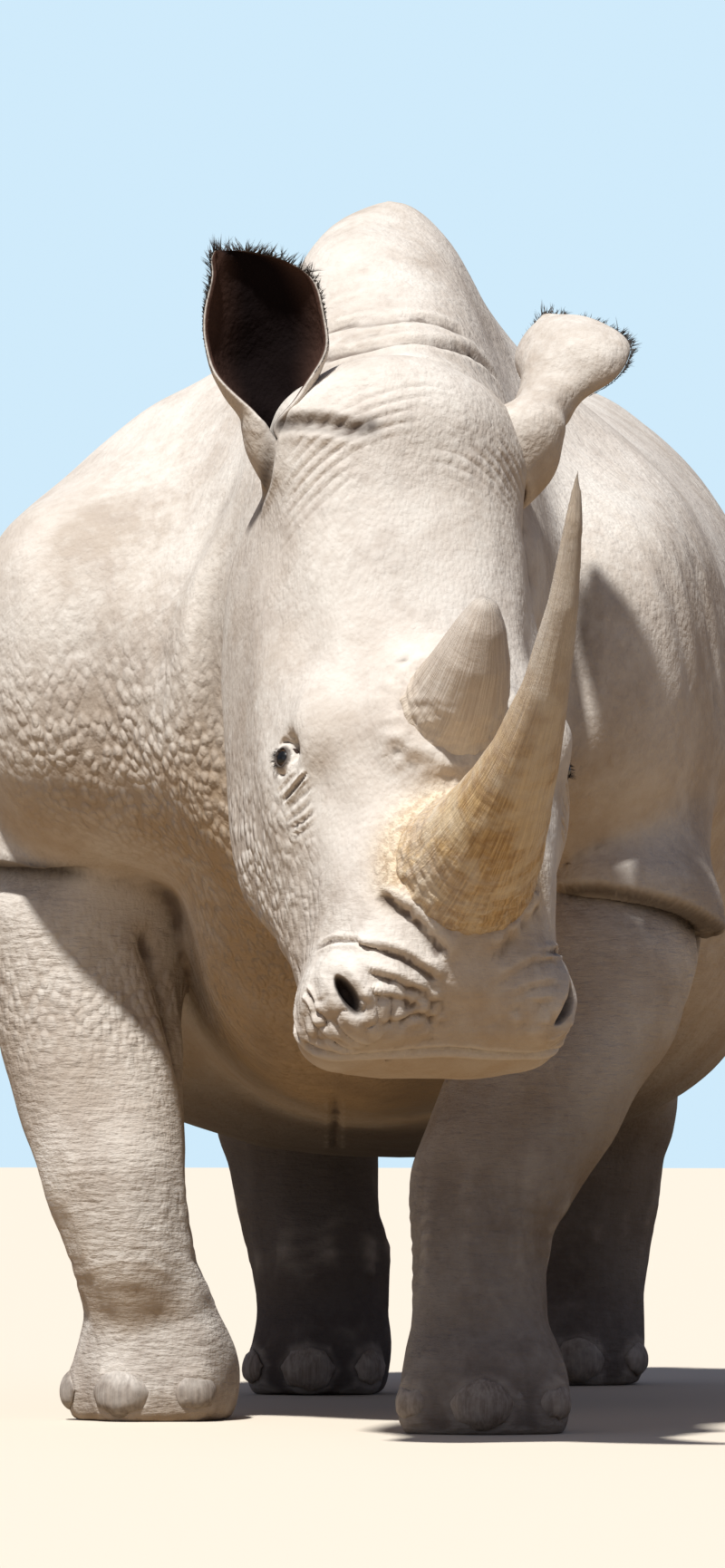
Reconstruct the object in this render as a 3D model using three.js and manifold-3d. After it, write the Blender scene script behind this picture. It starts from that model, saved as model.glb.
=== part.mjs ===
// A life-size adult white rhinoceros in a slow walk, with the head low and turned to its left.
// Millimetres, +Z up. The animal faces -Y, so its left side is +X. The left forefoot and the right
// hind foot are forward. The origin is under the middle of the animal, on the ground.
//
// The flesh is described by smooth fields: a field is a function of a point that is negative inside
// the body. Each field is wrapped in a faceted skin, and the skins are cut into the body's parts.
// Horns, ears, eyes and toenails are three.js shapes bent into place.
import * as THREE from "three";
import { mergeVertices } from "three/addons/utils/BufferGeometryUtils.js";
import Module from "manifold-3d";

// ---------------------------------------------------------------- driving dimensions

const HUMP_TOP = 1782; // the highest point, over the forelegs
const BACK_DIP = 1572; // the lowest point of the back, behind the hump
const CROUP_TOP = 1650; // the rise over the hips
const BELLY_LOW = 378; // the belly's clearance over the ground
const SHOULDER_HALF = 535; // half the width of the trunk at the forelegs
const BELLY_HALF = 605; // half the width of the trunk at the belly

const HEAD_ROOT = [116, -600, 1366]; // where the head's own axes start, between and behind the ears
const HEAD_YAW = 23; // degrees that the head turns to its left
const HEAD_PITCH = 62; // degrees that the face points below the horizon
const HEAD_ROLL = 1.5; // degrees that the crown tips to its left

const EYE = { u: 500, v: 189, w: 38, radius: 21 }; // centre of the left eyeball, in head axes
const FRONT_HORN = { baseU: 720, baseW: 78, midU: 785, midW: 541, tipU: 475, tipW: 752, radius: 100 };
const REAR_HORN = { baseU: 498, baseW: 104, midU: 510, midW: 240, tipU: 432, tipW: 345, radius: 80 };

const SPLIT = 0.5; // clearance between neighbouring solids
const GROWTH = 1.2; // how far a solid is swollen before it is cut out of a neighbour
const SHORT = 0.5; // edges shorter than this are closed up after a cut
const WELD = 0.001; // vertices closer than this are one vertex
const FACET = { head: 54, chest: 94, trunk: 128, leg: 76, foot: 50 }; // sizes of the facets

// ---------------------------------------------------------------- small maths

const mix = (a, b, t) => a + (b - a) * t;
const clamp = (x, low, high) => Math.min(Math.max(x, low), high);
const subtract = (a, b) => [a[0] - b[0], a[1] - b[1], a[2] - b[2]];
const dot = (a, b) => a[0] * b[0] + a[1] * b[1] + a[2] * b[2];
const radians = THREE.MathUtils.degToRad;

// The smaller of two fields, with the crease between them filled over a width k.
function blend(a, b, k) {
  const h = Math.max(k - Math.abs(a - b), 0) / k;
  return Math.min(a, b) - (h * h * k) / 4;
}

// A smooth curve through the rows [x, y], as a function of x. It holds its end values outside them.
function smoothTable(rows) {
  const slope = rows.map((row, i) => {
    const before = rows[Math.max(i - 1, 0)];
    const after = rows[Math.min(i + 1, rows.length - 1)];
    return (after[1] - before[1]) / (after[0] - before[0]);
  });
  return (x) => {
    if (x <= rows[0][0]) return rows[0][1];
    const i = rows.findIndex((row) => x < row[0]) - 1;
    if (i < 0) return rows[rows.length - 1][1];
    const width = rows[i + 1][0] - rows[i][0];
    const t = (x - rows[i][0]) / width;
    const rise = rows[i + 1][1] - rows[i][1];
    const hermite = t * t * (3 - 2 * t) * rise;
    const lean = width * (t * (1 - t) * (1 - t) * slope[i] - t * t * (1 - t) * slope[i + 1]);
    return rows[i][1] + hermite + lean;
  };
}

// ---------------------------------------------------------------- fields

// An ellipsoid. Power 2 is round, and higher powers are squarer.
function ellipsoid(centre, radii, power = 2) {
  const least = Math.min(...radii);
  return (p) => {
    const sum =
      Math.abs((p[0] - centre[0]) / radii[0]) ** power +
      Math.abs((p[1] - centre[1]) / radii[1]) ** power +
      Math.abs((p[2] - centre[2]) / radii[2]) ** power;
    return (sum ** (1 / power) - 1) * least;
  };
}

// A tapered round bar between two balls {at, r}.
function bar(from, to) {
  const axis = subtract(to.at, from.at);
  const lengthSquared = dot(axis, axis);
  return (p) => {
    const t = clamp(dot(subtract(p, from.at), axis) / lengthSquared, 0, 1);
    const near = from.at.map((c, i) => c + axis[i] * t);
    return Math.hypot(...subtract(p, near)) - mix(from.r, to.r, t);
  };
}

// A chain of bars through balls {at, r}, blended at each joint over a width k.
function limb(balls, k) {
  const bars = balls.slice(1).map((ball, i) => bar(balls[i], ball));
  return (p) => bars.reduce((sum, part) => blend(sum, part(p), k), Infinity);
}

// A body along one axis. Each station is [along, top, bottom, half width, widest height, x offset].
// The section is a superellipse, and the two ends close over the depths in caps.
function loft(stations, caps, powerAbove, powerBelow) {
  const column = (i) => smoothTable(stations.map((s) => [s[0], s[i] ?? 0]));
  const [top, bottom, half, widest, shift] = [1, 2, 3, 4, 5].map(column);
  const first = stations[0][0];
  const last = stations[stations.length - 1][0];
  return (side, along, height) => {
    const beyond = along < first ? (first - along) / caps[0] : Math.max(along - last, 0) / caps[1];
    const across = half(along);
    const level = widest(along);
    const above = height > level;
    const reach = above ? top(along) - level : level - bottom(along);
    const power = above ? powerAbove : powerBelow;
    const ring =
      (Math.abs((side - shift(along)) / across) ** power + Math.abs((height - level) / reach) ** power) **
      (1 / power);
    return (Math.hypot(ring, beyond) - 1) * Math.min(across, reach);
  };
}

// ---------------------------------------------------------------- trunk, neck and hump

const trunkLoft = loft(
  [
    [-230, 1320, 790, 300, 1030, 35],
    [-60, 1465, 780, 440, 1030, 28],
    [130, 1565, 775, SHOULDER_HALF, 1025, 18],
    [290, BACK_DIP + 4, 620, 550, 1000, 12],
    [450, BACK_DIP, 455, 570, 965, 6],
    [850, BACK_DIP + 18, BELLY_LOW, BELLY_HALF, 935, 0],
    [1180, CROUP_TOP - 18, BELLY_LOW + 25, BELLY_HALF - 15, 930, 0],
    [1420, CROUP_TOP, 485, 530, 950, 5],
    [1700, 1590, 610, 445, 1000, 10],
    [1920, 1440, 760, 320, 1070, 14],
  ],
  [120, 140],
  2.2,
  2.6,
);

// The breast hangs between the forelegs like a keel and runs back into the belly.
const breastLoft = loft(
  [
    [-260, 1200, 700, 190, 950, 40],
    [-100, 1200, 545, 235, 850, 26],
    [130, 1200, 455, 262, 780, 14],
    [400, 1200, 425, 330, 780, 6],
    [600, 1200, 410, 380, 800, 0],
  ],
  [90, 160],
  2.2,
  2.3,
);

// The neck is tall and narrow, with the hump along its top, and swings to the left towards the head.
const neckLoft = loft(
  [
    [-600, 1440, 960, 180, 1180, 158],
    [-450, 1505, 860, 218, 1160, 128],
    [-300, 1595, 780, 240, 1140, 98],
    [-150, 1700, 730, 238, 1130, 78],
    [-10, HUMP_TOP - 12, 700, 230, 1130, 64],
    [80, HUMP_TOP, 700, 228, 1130, 60],
    [230, 1710, 700, 240, 1130, 40],
    [400, 1600, 700, 250, 1130, 20],
  ],
  [70, 260],
  1.85,
  2.1,
);

const shoulders = [
  ellipsoid([335, 40, 1080], [205, 310, 280], 2.6),
  ellipsoid([-330, 110, 1090], [220, 320, 280], 2.6),
];
const hips = [
  ellipsoid([235, 1560, 1170], [245, 330, 310], 2.2),
  ellipsoid([-230, 1500, 1170], [245, 330, 310], 2.2),
];

// ---------------------------------------------------------------- legs

// Each leg is a chain of balls from inside the trunk down to the ankle, and a foot of three toes.
const LEGS = {
  forearm_left: {
    chain: [
      { at: [392, 60, 920], r: 150 },
      { at: [392, -40, 740], r: 138 },
      { at: [360, -115, 610], r: 127 },
      { at: [298, -195, 480], r: 117 },
      { at: [242, -250, 365], r: 108 },
      { at: [222, -298, 255], r: 82 },
      { at: [225, -320, 165], r: 83 },
      { at: [234, -335, 95], r: 96 },
    ],
    foot: [238, -345],
    toeing: 4,
    width: 122,
  },
  forearm_right: {
    chain: [
      { at: [-400, 160, 920], r: 160 },
      { at: [-400, 150, 760], r: 142 },
      { at: [-392, 130, 600], r: 126 },
      { at: [-368, 95, 470], r: 112 },
      { at: [-340, 55, 350], r: 96 },
      { at: [-314, 55, 250], r: 79 },
      { at: [-300, 95, 165], r: 78 },
      { at: [-286, 125, 95], r: 92 },
    ],
    foot: [-288, 128],
    toeing: -18,
    width: 122,
  },
  thigh_left: {
    chain: [
      { at: [235, 1620, 1080], r: 240 },
      { at: [262, 1610, 820], r: 195 },
      { at: [248, 1720, 620], r: 152 },
      { at: [220, 1865, 450], r: 116 },
      { at: [206, 1890, 310], r: 105 },
      { at: [192, 1884, 190], r: 94 },
      { at: [184, 1878, 100], r: 94 },
    ],
    foot: [182, 1866],
    toeing: 8,
    width: 114,
  },
  thigh_right: {
    chain: [
      { at: [-232, 1500, 1080], r: 240 },
      { at: [-252, 1320, 830], r: 200 },
      { at: [-250, 1350, 640], r: 152 },
      { at: [-232, 1430, 460], r: 118 },
      { at: [-212, 1420, 330], r: 106 },
      { at: [-182, 1372, 205], r: 100 },
      { at: [-172, 1345, 105], r: 92 },
    ],
    foot: [-178, 1330],
    toeing: -4,
    width: 112,
  },
};

// The directions of the three toes, in degrees from straight ahead.
const TOES = { inner: 52, middle: 0, outer: -52 };

// Where a toe of a leg points. Ahead is -Y, and a positive turn goes to the animal's left.
function toeHeading(leg, toe) {
  const side = Math.sign(leg.foot[0]);
  return radians(leg.toeing - side * TOES[toe]);
}

function toeCentre(leg, toe, reach, height) {
  const heading = toeHeading(leg, toe);
  return [leg.foot[0] + Math.sin(heading) * reach, leg.foot[1] - Math.cos(heading) * reach, height];
}

function footField(leg) {
  const pad = ellipsoid([leg.foot[0], leg.foot[1] + 14, 44], [leg.width * 0.95, leg.width, 88], 2.6);
  const heel = ellipsoid(toeCentre(leg, "middle", -leg.width * 0.55, 80), [74, 62, 78]);
  const toes = Object.keys(TOES).map((toe) =>
    ellipsoid(toeCentre(leg, toe, leg.width * 0.68, 40), [leg.width * 0.42, leg.width * 0.42, 76], 2.2),
  );
  return (p) => toes.reduce((sum, toe) => blend(sum, toe(p), 22), blend(pad(p), heel(p), 40));
}

function legField(leg) {
  const shaft = limb(leg.chain, 55);
  const foot = footField(leg);
  return (p) => blend(shaft(p), foot(p), 45);
}

const legFields = Object.fromEntries(Object.entries(LEGS).map(([name, leg]) => [name, legField(leg)]));

// The trunk with the neck, shoulders and haunches run together. The forelegs stay apart, because the
// skin of the shoulder hangs over them like a sleeve.
function torsoField(p) {
  let body = trunkLoft(p[0], p[1], p[2]);
  body = blend(body, breastLoft(p[0], p[1], p[2]), 60);
  body = blend(body, neckLoft(p[0], p[1], p[2]), 120);
  for (const shoulder of shoulders) body = blend(body, shoulder(p), 70);
  for (const hip of hips) body = blend(body, hip(p), 120);
  for (const name of ["thigh_left", "thigh_right"]) body = blend(body, legFields[name](p), 70);
  return body;
}

// ---------------------------------------------------------------- head

// The head's own axes: u runs down the face to the lips, v to the animal's left, w out of the face.
const headTurn = new THREE.Quaternion()
  .setFromAxisAngle(new THREE.Vector3(0, 0, 1), radians(HEAD_YAW))
  .multiply(new THREE.Quaternion().setFromAxisAngle(new THREE.Vector3(0, -1, 0), radians(-HEAD_ROLL)))
  .multiply(new THREE.Quaternion().setFromAxisAngle(new THREE.Vector3(1, 0, 0), radians(HEAD_PITCH)));
const [headU, headV, headW] = [[0, -1, 0], [1, 0, 0], [0, 0, 1]].map((axis) =>
  new THREE.Vector3(...axis).applyQuaternion(headTurn).toArray(),
);
const fromHead = (u, v, w) => HEAD_ROOT.map((c, i) => c + headU[i] * u + headV[i] * v + headW[i] * w);

const skullLoft = loft(
  [
    [-10, 150, -180, 128, -20],
    [70, 170, -240, 172, -60],
    [180, 158, -280, 186, -100],
    [320, 138, -298, 194, -135],
    [450, 128, -304, 209, -165],
    [560, 118, -296, 212, -175],
    [670, 104, -244, 188, -140],
    [770, 90, -188, 168, -85],
    [850, 62, -170, 170, -62],
  ],
  [125, 62],
  3,
  3.2,
);

const headSwellings = [
  { at: [15, 0, 140], radii: [75, 120, 62], power: 2.2, k: 50 }, // crest between the ears
  { at: [30, 138, 66], radii: [70, 52, 62], power: 2, k: 50 }, // ear root
  { at: [488, 148, 60], radii: [74, 50, 46], power: 2, k: 36 }, // brow over the eye
  { at: [410, 154, -40], radii: [180, 46, 60], power: 2, k: 50 }, // cheek bone
  { at: [300, 118, -175], radii: [200, 72, 118], power: 2.4, k: 60 }, // jaw muscle
  { at: [498, 0, 84], radii: [112, 96, 52], power: 2, k: 50 }, // boss of the rear horn
  { at: [715, 0, 54], radii: [132, 112, 58], power: 2.4, k: 50 }, // boss of the front horn
  { at: [832, 104, -16], radii: [70, 70, 66], power: 2.2, k: 40 }, // nostril
  { at: [872, 0, -66], radii: [44, 168, 62], power: 3.4, k: 36 }, // upper lip
  { at: [838, 0, -152], radii: [64, 146, 34], power: 3, k: 22 }, // lower lip
];
// In chewing, the lips swing a little to the animal's right.
const lipSwing = smoothTable([[600, 0], [720, -4], [860, -16], [960, -18]]);
const headParts = headSwellings.map((s) => ({ field: ellipsoid(s.at, s.radii, s.power), k: s.k }));

function headField(p) {
  const from = subtract(p, HEAD_ROOT);
  const u = dot(from, headU);
  const w = dot(from, headW);
  const q = [u, Math.abs(dot(from, headV) - lipSwing(u)), w];
  let head = skullLoft(q[1], u, w);
  for (const part of headParts) head = blend(head, part.field(q), part.k);
  return head;
}

// ---------------------------------------------------------------- tail

const TAIL = [
  { at: [14, 1960, 1380], r: 66 },
  { at: [14, 2060, 1290], r: 44 },
  { at: [14, 2115, 1120], r: 29 },
  { at: [18, 2135, 930], r: 21 },
  { at: [22, 2138, 770], r: 19 },
  { at: [22, 2140, 680], r: 30 },
  { at: [22, 2140, 570], r: 9 },
];

// ---------------------------------------------------------------- wrapping a field in facets

const wasm = await Module();
wasm.setup();

// A closed three.js geometry as a solid that can be joined and cut.
function solidOf(geometry) {
  const bare = geometry.clone();
  for (const name of Object.keys(bare.attributes)) {
    if (name !== "position") bare.deleteAttribute(name);
  }
  const merged = mergeVertices(bare, WELD);
  return new wasm.Manifold(
    new wasm.Mesh({
      numProp: 3,
      vertProperties: new Float32Array(merged.attributes.position.array),
      triVerts: new Uint32Array(merged.index.array),
    }),
  );
}

// The set of neighbours of each vertex.
function neighboursOf(faces) {
  const around = new Map();
  const meet = (a, b) => around.set(a, (around.get(a) ?? new Set()).add(b));
  for (const [a, b, c] of faces) {
    for (const [v, w] of [[a, b], [b, c], [c, a]]) {
      meet(v, w);
      meet(w, v);
    }
  }
  return around;
}

// The first edge that is shorter than SHORT and can be closed up with the surface still a plain
// sheet: its two ends have exactly two neighbours in common.
function firstShortEdge(faces, at) {
  const around = neighboursOf(faces);
  const shared = (a, b) => [...around.get(a)].filter((v) => around.get(b).has(v)).length;
  for (const face of faces) {
    for (const c of [0, 1, 2]) {
      const [a, b] = [face[c], face[(c + 1) % 3]];
      if (Math.hypot(...subtract(at(a), at(b))) < SHORT && shared(a, b) === 2) return [a, b];
    }
  }
  return null;
}

// Closes up the short edges, one at a time.
function closeShortEdges(faces, at) {
  let kept = faces;
  for (let edge = firstShortEdge(kept, at); edge; edge = firstShortEdge(kept, at)) {
    const [stays, goes] = edge;
    kept = kept.map((face) => face.map((v) => (v === goes ? stays : v)));
    kept = kept.filter(([a, b, c]) => a !== b && b !== c && c !== a);
  }
  return kept;
}

// The faces of the largest body alone.
function largestBody(faces, count) {
  const parent = Array.from({ length: count }, (_, i) => i);
  const find = (v) => {
    while (parent[v] !== v) v = parent[v];
    return v;
  };
  for (const [a, b, c] of faces) parent[find(b)] = parent[find(c)] = find(a);
  const sizes = new Map();
  for (const [a] of faces) sizes.set(find(a), (sizes.get(find(a)) ?? 0) + 1);
  const main = [...sizes.keys()].reduce((best, body) => (sizes.get(body) > sizes.get(best) ? body : best));
  return faces.filter(([a]) => find(a) === main);
}

// The surface of a solid as shared vertices and faces.
function geometryOf(solid) {
  const mesh = solid.getMesh();
  const at = (v) => [0, 1, 2].map((i) => mesh.vertProperties[v * mesh.numProp + i]);
  let faces = Array.from({ length: mesh.numTri }, (_, f) => [...mesh.triVerts.slice(f * 3, f * 3 + 3)]);
  faces = largestBody(closeShortEdges(faces, at), mesh.numVert);
  const numbers = new Map();
  const positions = [];
  const index = faces.flat().map((v) => {
    if (!numbers.has(v)) {
      numbers.set(v, positions.length / 3);
      positions.push(...at(v));
    }
    return numbers.get(v);
  });
  return new THREE.BufferGeometry()
    .setAttribute("position", new THREE.BufferAttribute(new Float32Array(positions), 3))
    .setIndex(index);
}

// Moves a point along the field's slope until the field is zero there.
function settle(field, p, reach) {
  const step = 2;
  const passes = 4;
  const leastSlope = 0.04;
  const q = [...p];
  for (let pass = 0; pass < passes; pass++) {
    const value = field(q);
    const slope = [0, 1, 2].map((i) => {
      const ahead = [...q];
      ahead[i] += step;
      return (field(ahead) - value) / step;
    });
    const steep = Math.max(dot(slope, slope), leastSlope);
    for (const i of [0, 1, 2]) {
      q[i] = clamp(q[i] - (value * slope[i]) / steep, p[i] - reach, p[i] + reach);
    }
  }
  return q;
}

// A grid of cubic cells over a box. Corners are numbered along x, then y, then z.
function gridOver(low, high, cell) {
  const count = [0, 1, 2].map((i) => Math.ceil((high[i] - low[i]) / cell) + 1);
  return { low, cell, count, stride: [1, count[0], count[0] * count[1]] };
}

// Visits the corners of a grid whose steps i, j and k run from one value up to the last cell.
function eachCell({ count, stride }, from, visit) {
  for (let k = from; k < count[2] - 1; k++) {
    for (let j = from; j < count[1] - 1; j++) {
      for (let i = from; i < count[0] - 1; i++) visit(i + j * stride[1] + k * stride[2], [i, j, k]);
    }
  }
}

// The value of a field at each corner of a grid.
function sample(field, { low, cell, count }) {
  const layer = count[0] * count[1];
  return new Float64Array(layer * count[2]).map((_, n) => {
    const steps = [n % count[0], Math.floor((n % layer) / count[0]), Math.floor(n / layer)];
    return field(steps.map((step, axis) => low[axis] + step * cell));
  });
}

const CORNERS = [0, 1, 2, 3, 4, 5, 6, 7].map((c) => [c & 1, (c >> 1) & 1, c >> 2]);

// The middle of the places where a surface crosses the edges of one cell, as shares of the cell.
// Nothing where it crosses none.
function middleOfCrossings(values) {
  const middle = [0, 0, 0];
  let crossings = 0;
  for (let a = 0; a < CORNERS.length; a++) {
    for (const axis of [0, 1, 2]) {
      const b = a | (1 << axis);
      if (a === b || values[a] < 0 === values[b] < 0) continue;
      const t = values[a] / (values[a] - values[b]);
      for (const c of [0, 1, 2]) middle[c] += mix(CORNERS[a][c], CORNERS[b][c], t);
      crossings++;
    }
  }
  return crossings ? middle.map((c) => c / crossings) : null;
}

// Wraps the part of a field inside a box. One vertex sits in each cubic cell that the surface
// crosses, and each crossed edge between cells makes a face of four of them.
function wrap(field, [low, high], cell) {
  const inBox = (p) =>
    Math.max(...[0, 1, 2].map((i) => Math.max(low[i] + cell - p[i], p[i] - (high[i] - cell))));
  const closed = (p) => Math.max(field(p), inBox(p));
  const grid = gridOver(low, high, cell);
  const { stride } = grid;
  const value = sample(closed, grid);
  const slack = cell * 0.45; // how far a vertex may move from the middle of its crossings

  const vertexOf = new Map();
  const places = [];
  eachCell(grid, 0, (n, steps) => {
    const values = CORNERS.map((c) => value[n + c[0] + c[1] * stride[1] + c[2] * stride[2]]);
    const middle = middleOfCrossings(values);
    if (!middle) return;
    const start = steps.map((step, axis) => low[axis] + (step + middle[axis]) * cell);
    vertexOf.set(n, places.length);
    places.push(settle(closed, start, slack));
  });

  const faces = [];
  const far = (a, b) => Math.hypot(...subtract(places[a], places[b]));
  eachCell(grid, 1, (n) => {
    for (const axis of [0, 1, 2]) {
      const inside = value[n] < 0;
      if (inside === value[n + stride[axis]] < 0) continue;
      const [e, f] = [stride[(axis + 1) % 3], stride[(axis + 2) % 3]];
      const quad = [n - e - f, n - f, n, n - e].map((cellNumber) => vertexOf.get(cellNumber));
      if (!inside) quad.reverse();
      const [a, b, c, d] = quad;
      if (far(a, c) < far(b, d)) faces.push(a, b, c, a, c, d);
      else faces.push(a, b, d, b, c, d);
    }
  });
  return solidOf(
    new THREE.BufferGeometry()
      .setAttribute("position", new THREE.BufferAttribute(new Float32Array(places.flat()), 3))
      .setIndex(faces),
  );
}

// ---------------------------------------------------------------- cutting

// A solid with each vertex pushed out along its normal, to cut a neighbour with a small gap.
function grown(solid, by = GROWTH) {
  const geometry = geometryOf(solid);
  geometry.computeVertexNormals();
  const { position, normal } = geometry.attributes;
  for (let i = 0; i < position.array.length; i++) {
    position.array[i] += normal.array[i] * by;
  }
  return solidOf(geometry);
}

// A box between two corners, in the body's axes.
function block(low, high) {
  const size = subtract(high, low);
  const centre = low.map((c, i) => c + size[i] / 2);
  return solidOf(new THREE.BoxGeometry(...size).translate(...centre));
}

// A box between two corners, in the head's axes.
function headBlock(low, high) {
  const size = subtract(high, low);
  const axes = new THREE.Matrix4().makeBasis(...[headU, headV, headW].map((a) => new THREE.Vector3(...a)));
  const centre = fromHead(...low.map((c, i) => c + size[i] / 2));
  return solidOf(new THREE.BoxGeometry(...size).applyMatrix4(axes).translate(...centre));
}

const parts = {}; // node name: {solid, material}

const MATERIALS = {
  skin: new THREE.MeshStandardMaterial({ color: 0xb5a892, roughness: 0.85, metalness: 0 }),
  horn: new THREE.MeshStandardMaterial({ color: 0x8d7a5b, roughness: 0.7, metalness: 0 }),
  eye: new THREE.MeshStandardMaterial({ color: 0x1a1210, roughness: 0.15, metalness: 0 }),
  nail: new THREE.MeshStandardMaterial({ color: 0x6f6452, roughness: 0.6, metalness: 0 }),
};

function keep(name, solid, material) {
  parts[name] = { solid: solidOf(geometryOf(solid)), material };
}

// ---------------------------------------------------------------- horns, eyes, ears and nails

// Bends a three.js geometry that stands along +Y, from y 0 to 1, onto a curve. Its x and z are
// scaled by 1 and lie along sideways and across it.
function alongCurve(geometry, curve, sideways) {
  const { position } = geometry.attributes;
  for (let i = 0; i < position.count; i++) {
    const t = clamp(position.getY(i), 0, 1);
    const centre = curve.getPoint(t);
    const tangent = curve.getTangent(t);
    const side = sideways.clone().addScaledVector(tangent, -sideways.dot(tangent)).normalize();
    const across = new THREE.Vector3().crossVectors(side, tangent);
    centre.addScaledVector(side, position.getX(i)).addScaledVector(across, position.getZ(i));
    centre.addScaledVector(tangent, Math.min(position.getY(i), 0) * curve.getLength());
    position.setXYZ(i, centre.x, centre.y, centre.z);
  }
  return geometry;
}

const vector = (p) => new THREE.Vector3(...p);

// A horn: a lathed taper bent along a curve in the middle plane of the head.
function horn(size, taper, sides) {
  const profile = taper.map(([along, share]) => new THREE.Vector2(size.radius * share, along));
  const curve = new THREE.QuadraticBezierCurve3(
    vector(fromHead(size.baseU, 0, size.baseW)),
    vector(fromHead(size.midU, 0, size.midW)),
    vector(fromHead(size.tipU, 0, size.tipW)),
  );
  return solidOf(alongCurve(new THREE.LatheGeometry(profile, sides), curve, vector(headV)));
}

const FRONT_TAPER = [
  [-0.06, 0], [-0.06, 0.9], [0, 1], [0.07, 0.96], [0.15, 0.82], [0.26, 0.65], [0.4, 0.47],
  [0.56, 0.32], [0.74, 0.21], [0.9, 0.12], [0.98, 0.05], [1, 0],
];
const REAR_TAPER = [
  [-0.2, 0], [-0.2, 0.9], [0, 1], [0.2, 0.93], [0.42, 0.8], [0.64, 0.63], [0.84, 0.42],
  [0.96, 0.22], [1, 0],
];

function eyeball(side) {
  const centre = fromHead(EYE.u, EYE.v * side, EYE.w);
  return solidOf(new THREE.SphereGeometry(EYE.radius, 10, 7).translate(...centre));
}

// An ear: a closed cylinder whose rings are bent into crescents. Half of each ring is the back of the
// ear and half is the hollow in front of it. Rows in form are [along, radius, wrap in degrees].
const EAR = { sides: 14, rows: 7, wall: 11, thicker: 5, depth: 0.72, hollowWrap: 0.94, hub: 0.9, least: 2 };

// The swing about the ear's axis and the distance from it, for a point of a ring. The turn runs from
// 0 to 2 round the ring: first the back, then the hollow.
function onCrescent(turn, radius, reach) {
  if (turn < 1) return { swing: mix(reach, -reach, turn), r: Math.max(radius, EAR.least) };
  const swing = mix(-reach, reach, turn - 1) * EAR.hollowWrap;
  const wall = EAR.wall + EAR.thicker * Math.abs(Math.cos(swing));
  return { swing, r: Math.max(radius - wall, EAR.least) };
}

function ear({ root, bend, tip, opening, form }) {
  const radius = smoothTable(form.map((row) => [row[0], row[1]]));
  const wrapAngle = smoothTable(form.map((row) => [row[0], radians(row[2])]));
  const shell = new THREE.CylinderGeometry(1, 1, 1, EAR.sides, EAR.rows);
  const curve = new THREE.QuadraticBezierCurve3(vector(root), vector(bend), vector(tip));
  const { position } = shell.attributes;
  for (let i = 0; i < position.count; i++) {
    const t = position.getY(i) + 0.5;
    const isHub = Math.hypot(position.getX(i), position.getZ(i)) < WELD;
    const turn = (Math.atan2(position.getX(i), position.getZ(i)) / Math.PI + 2) % 2;
    const ring = onCrescent(turn, radius(t), wrapAngle(t));
    const { swing, r } = isHub ? { swing: 0, r: radius(t) * EAR.hub } : ring;
    const centre = curve.getPoint(t);
    const tangent = curve.getTangent(t);
    const front = vector(opening).addScaledVector(tangent, -vector(opening).dot(tangent)).normalize();
    const side = new THREE.Vector3().crossVectors(tangent, front);
    centre.addScaledVector(front, -Math.cos(swing) * r * EAR.depth);
    centre.addScaledVector(side, Math.sin(swing) * r);
    position.setXYZ(i, centre.x, centre.y, centre.z);
  }
  return solidOf(shell);
}

// A toenail: a squat rounded plate on the front of a toe. Width is a share of the foot's width.
const NAILS = {
  middle: { width: 0.42, height: 44 },
  inner: { width: 0.34, height: 38 },
  outer: { width: 0.34, height: 38 },
};
const NAIL = { sides: 8, rows: 4, thickness: 30, tilt: -12, reach: 0.95, centreHeight: 44 };

function nail(leg, toe, footRoom) {
  const { width, height } = NAILS[toe];
  const shape = new THREE.SphereGeometry(1, NAIL.sides, NAIL.rows);
  shape.scale(leg.width * width, NAIL.thickness, height);
  shape.rotateX(radians(NAIL.tilt)).rotateZ(toeHeading(leg, toe));
  shape.translate(...toeCentre(leg, toe, leg.width * NAIL.reach, NAIL.centreHeight));
  return solidOf(shape).subtract(footRoom);
}

// ---------------------------------------------------------------- assembly

const slab = (bottom, top) => block([-1000, -1000, bottom], [1000, 2700, top]);

const HEAD_BOX = [[-420, -1400, 250], [800, -280, 1640]];
const CHEST_BOX = [[-760, -760, 250], [760, 640, 1900]];
const TRUNK_BOX = [[-800, 60, 250], [800, 2300, 1900]];
const headWrap = wrap(headField, HEAD_BOX, FACET.head);
const chestWrap = wrap(torsoField, CHEST_BOX, FACET.chest);
const trunkWrap = wrap(torsoField, TRUNK_BOX, FACET.trunk);

const eyes = { eye_left: eyeball(1), eye_right: eyeball(-1) };
let face = headWrap;
for (const [name, solid] of Object.entries(eyes)) {
  keep(name, solid, "eye");
  face = face.subtract(grown(solid));
}
const headRoom = grown(headWrap);
keep("horn_front", horn(FRONT_HORN, FRONT_TAPER, 18).subtract(headRoom), "horn");
keep("horn_rear", horn(REAR_HORN, REAR_TAPER, 14).subtract(headRoom), "horn");

// The lower jaw is parted from the head along the mouth.
const MOUTH = { from: 640, level: -114 };
keep("head", face.subtract(headBlock([MOUTH.from, -400, -500], [1200, 400, MOUTH.level])), "skin");
const jawBlock = headBlock([MOUTH.from + SPLIT, -400, -500], [1200, 400, MOUTH.level - SPLIT]);
keep("lower_jaw", face.intersect(jawBlock), "skin");

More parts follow.
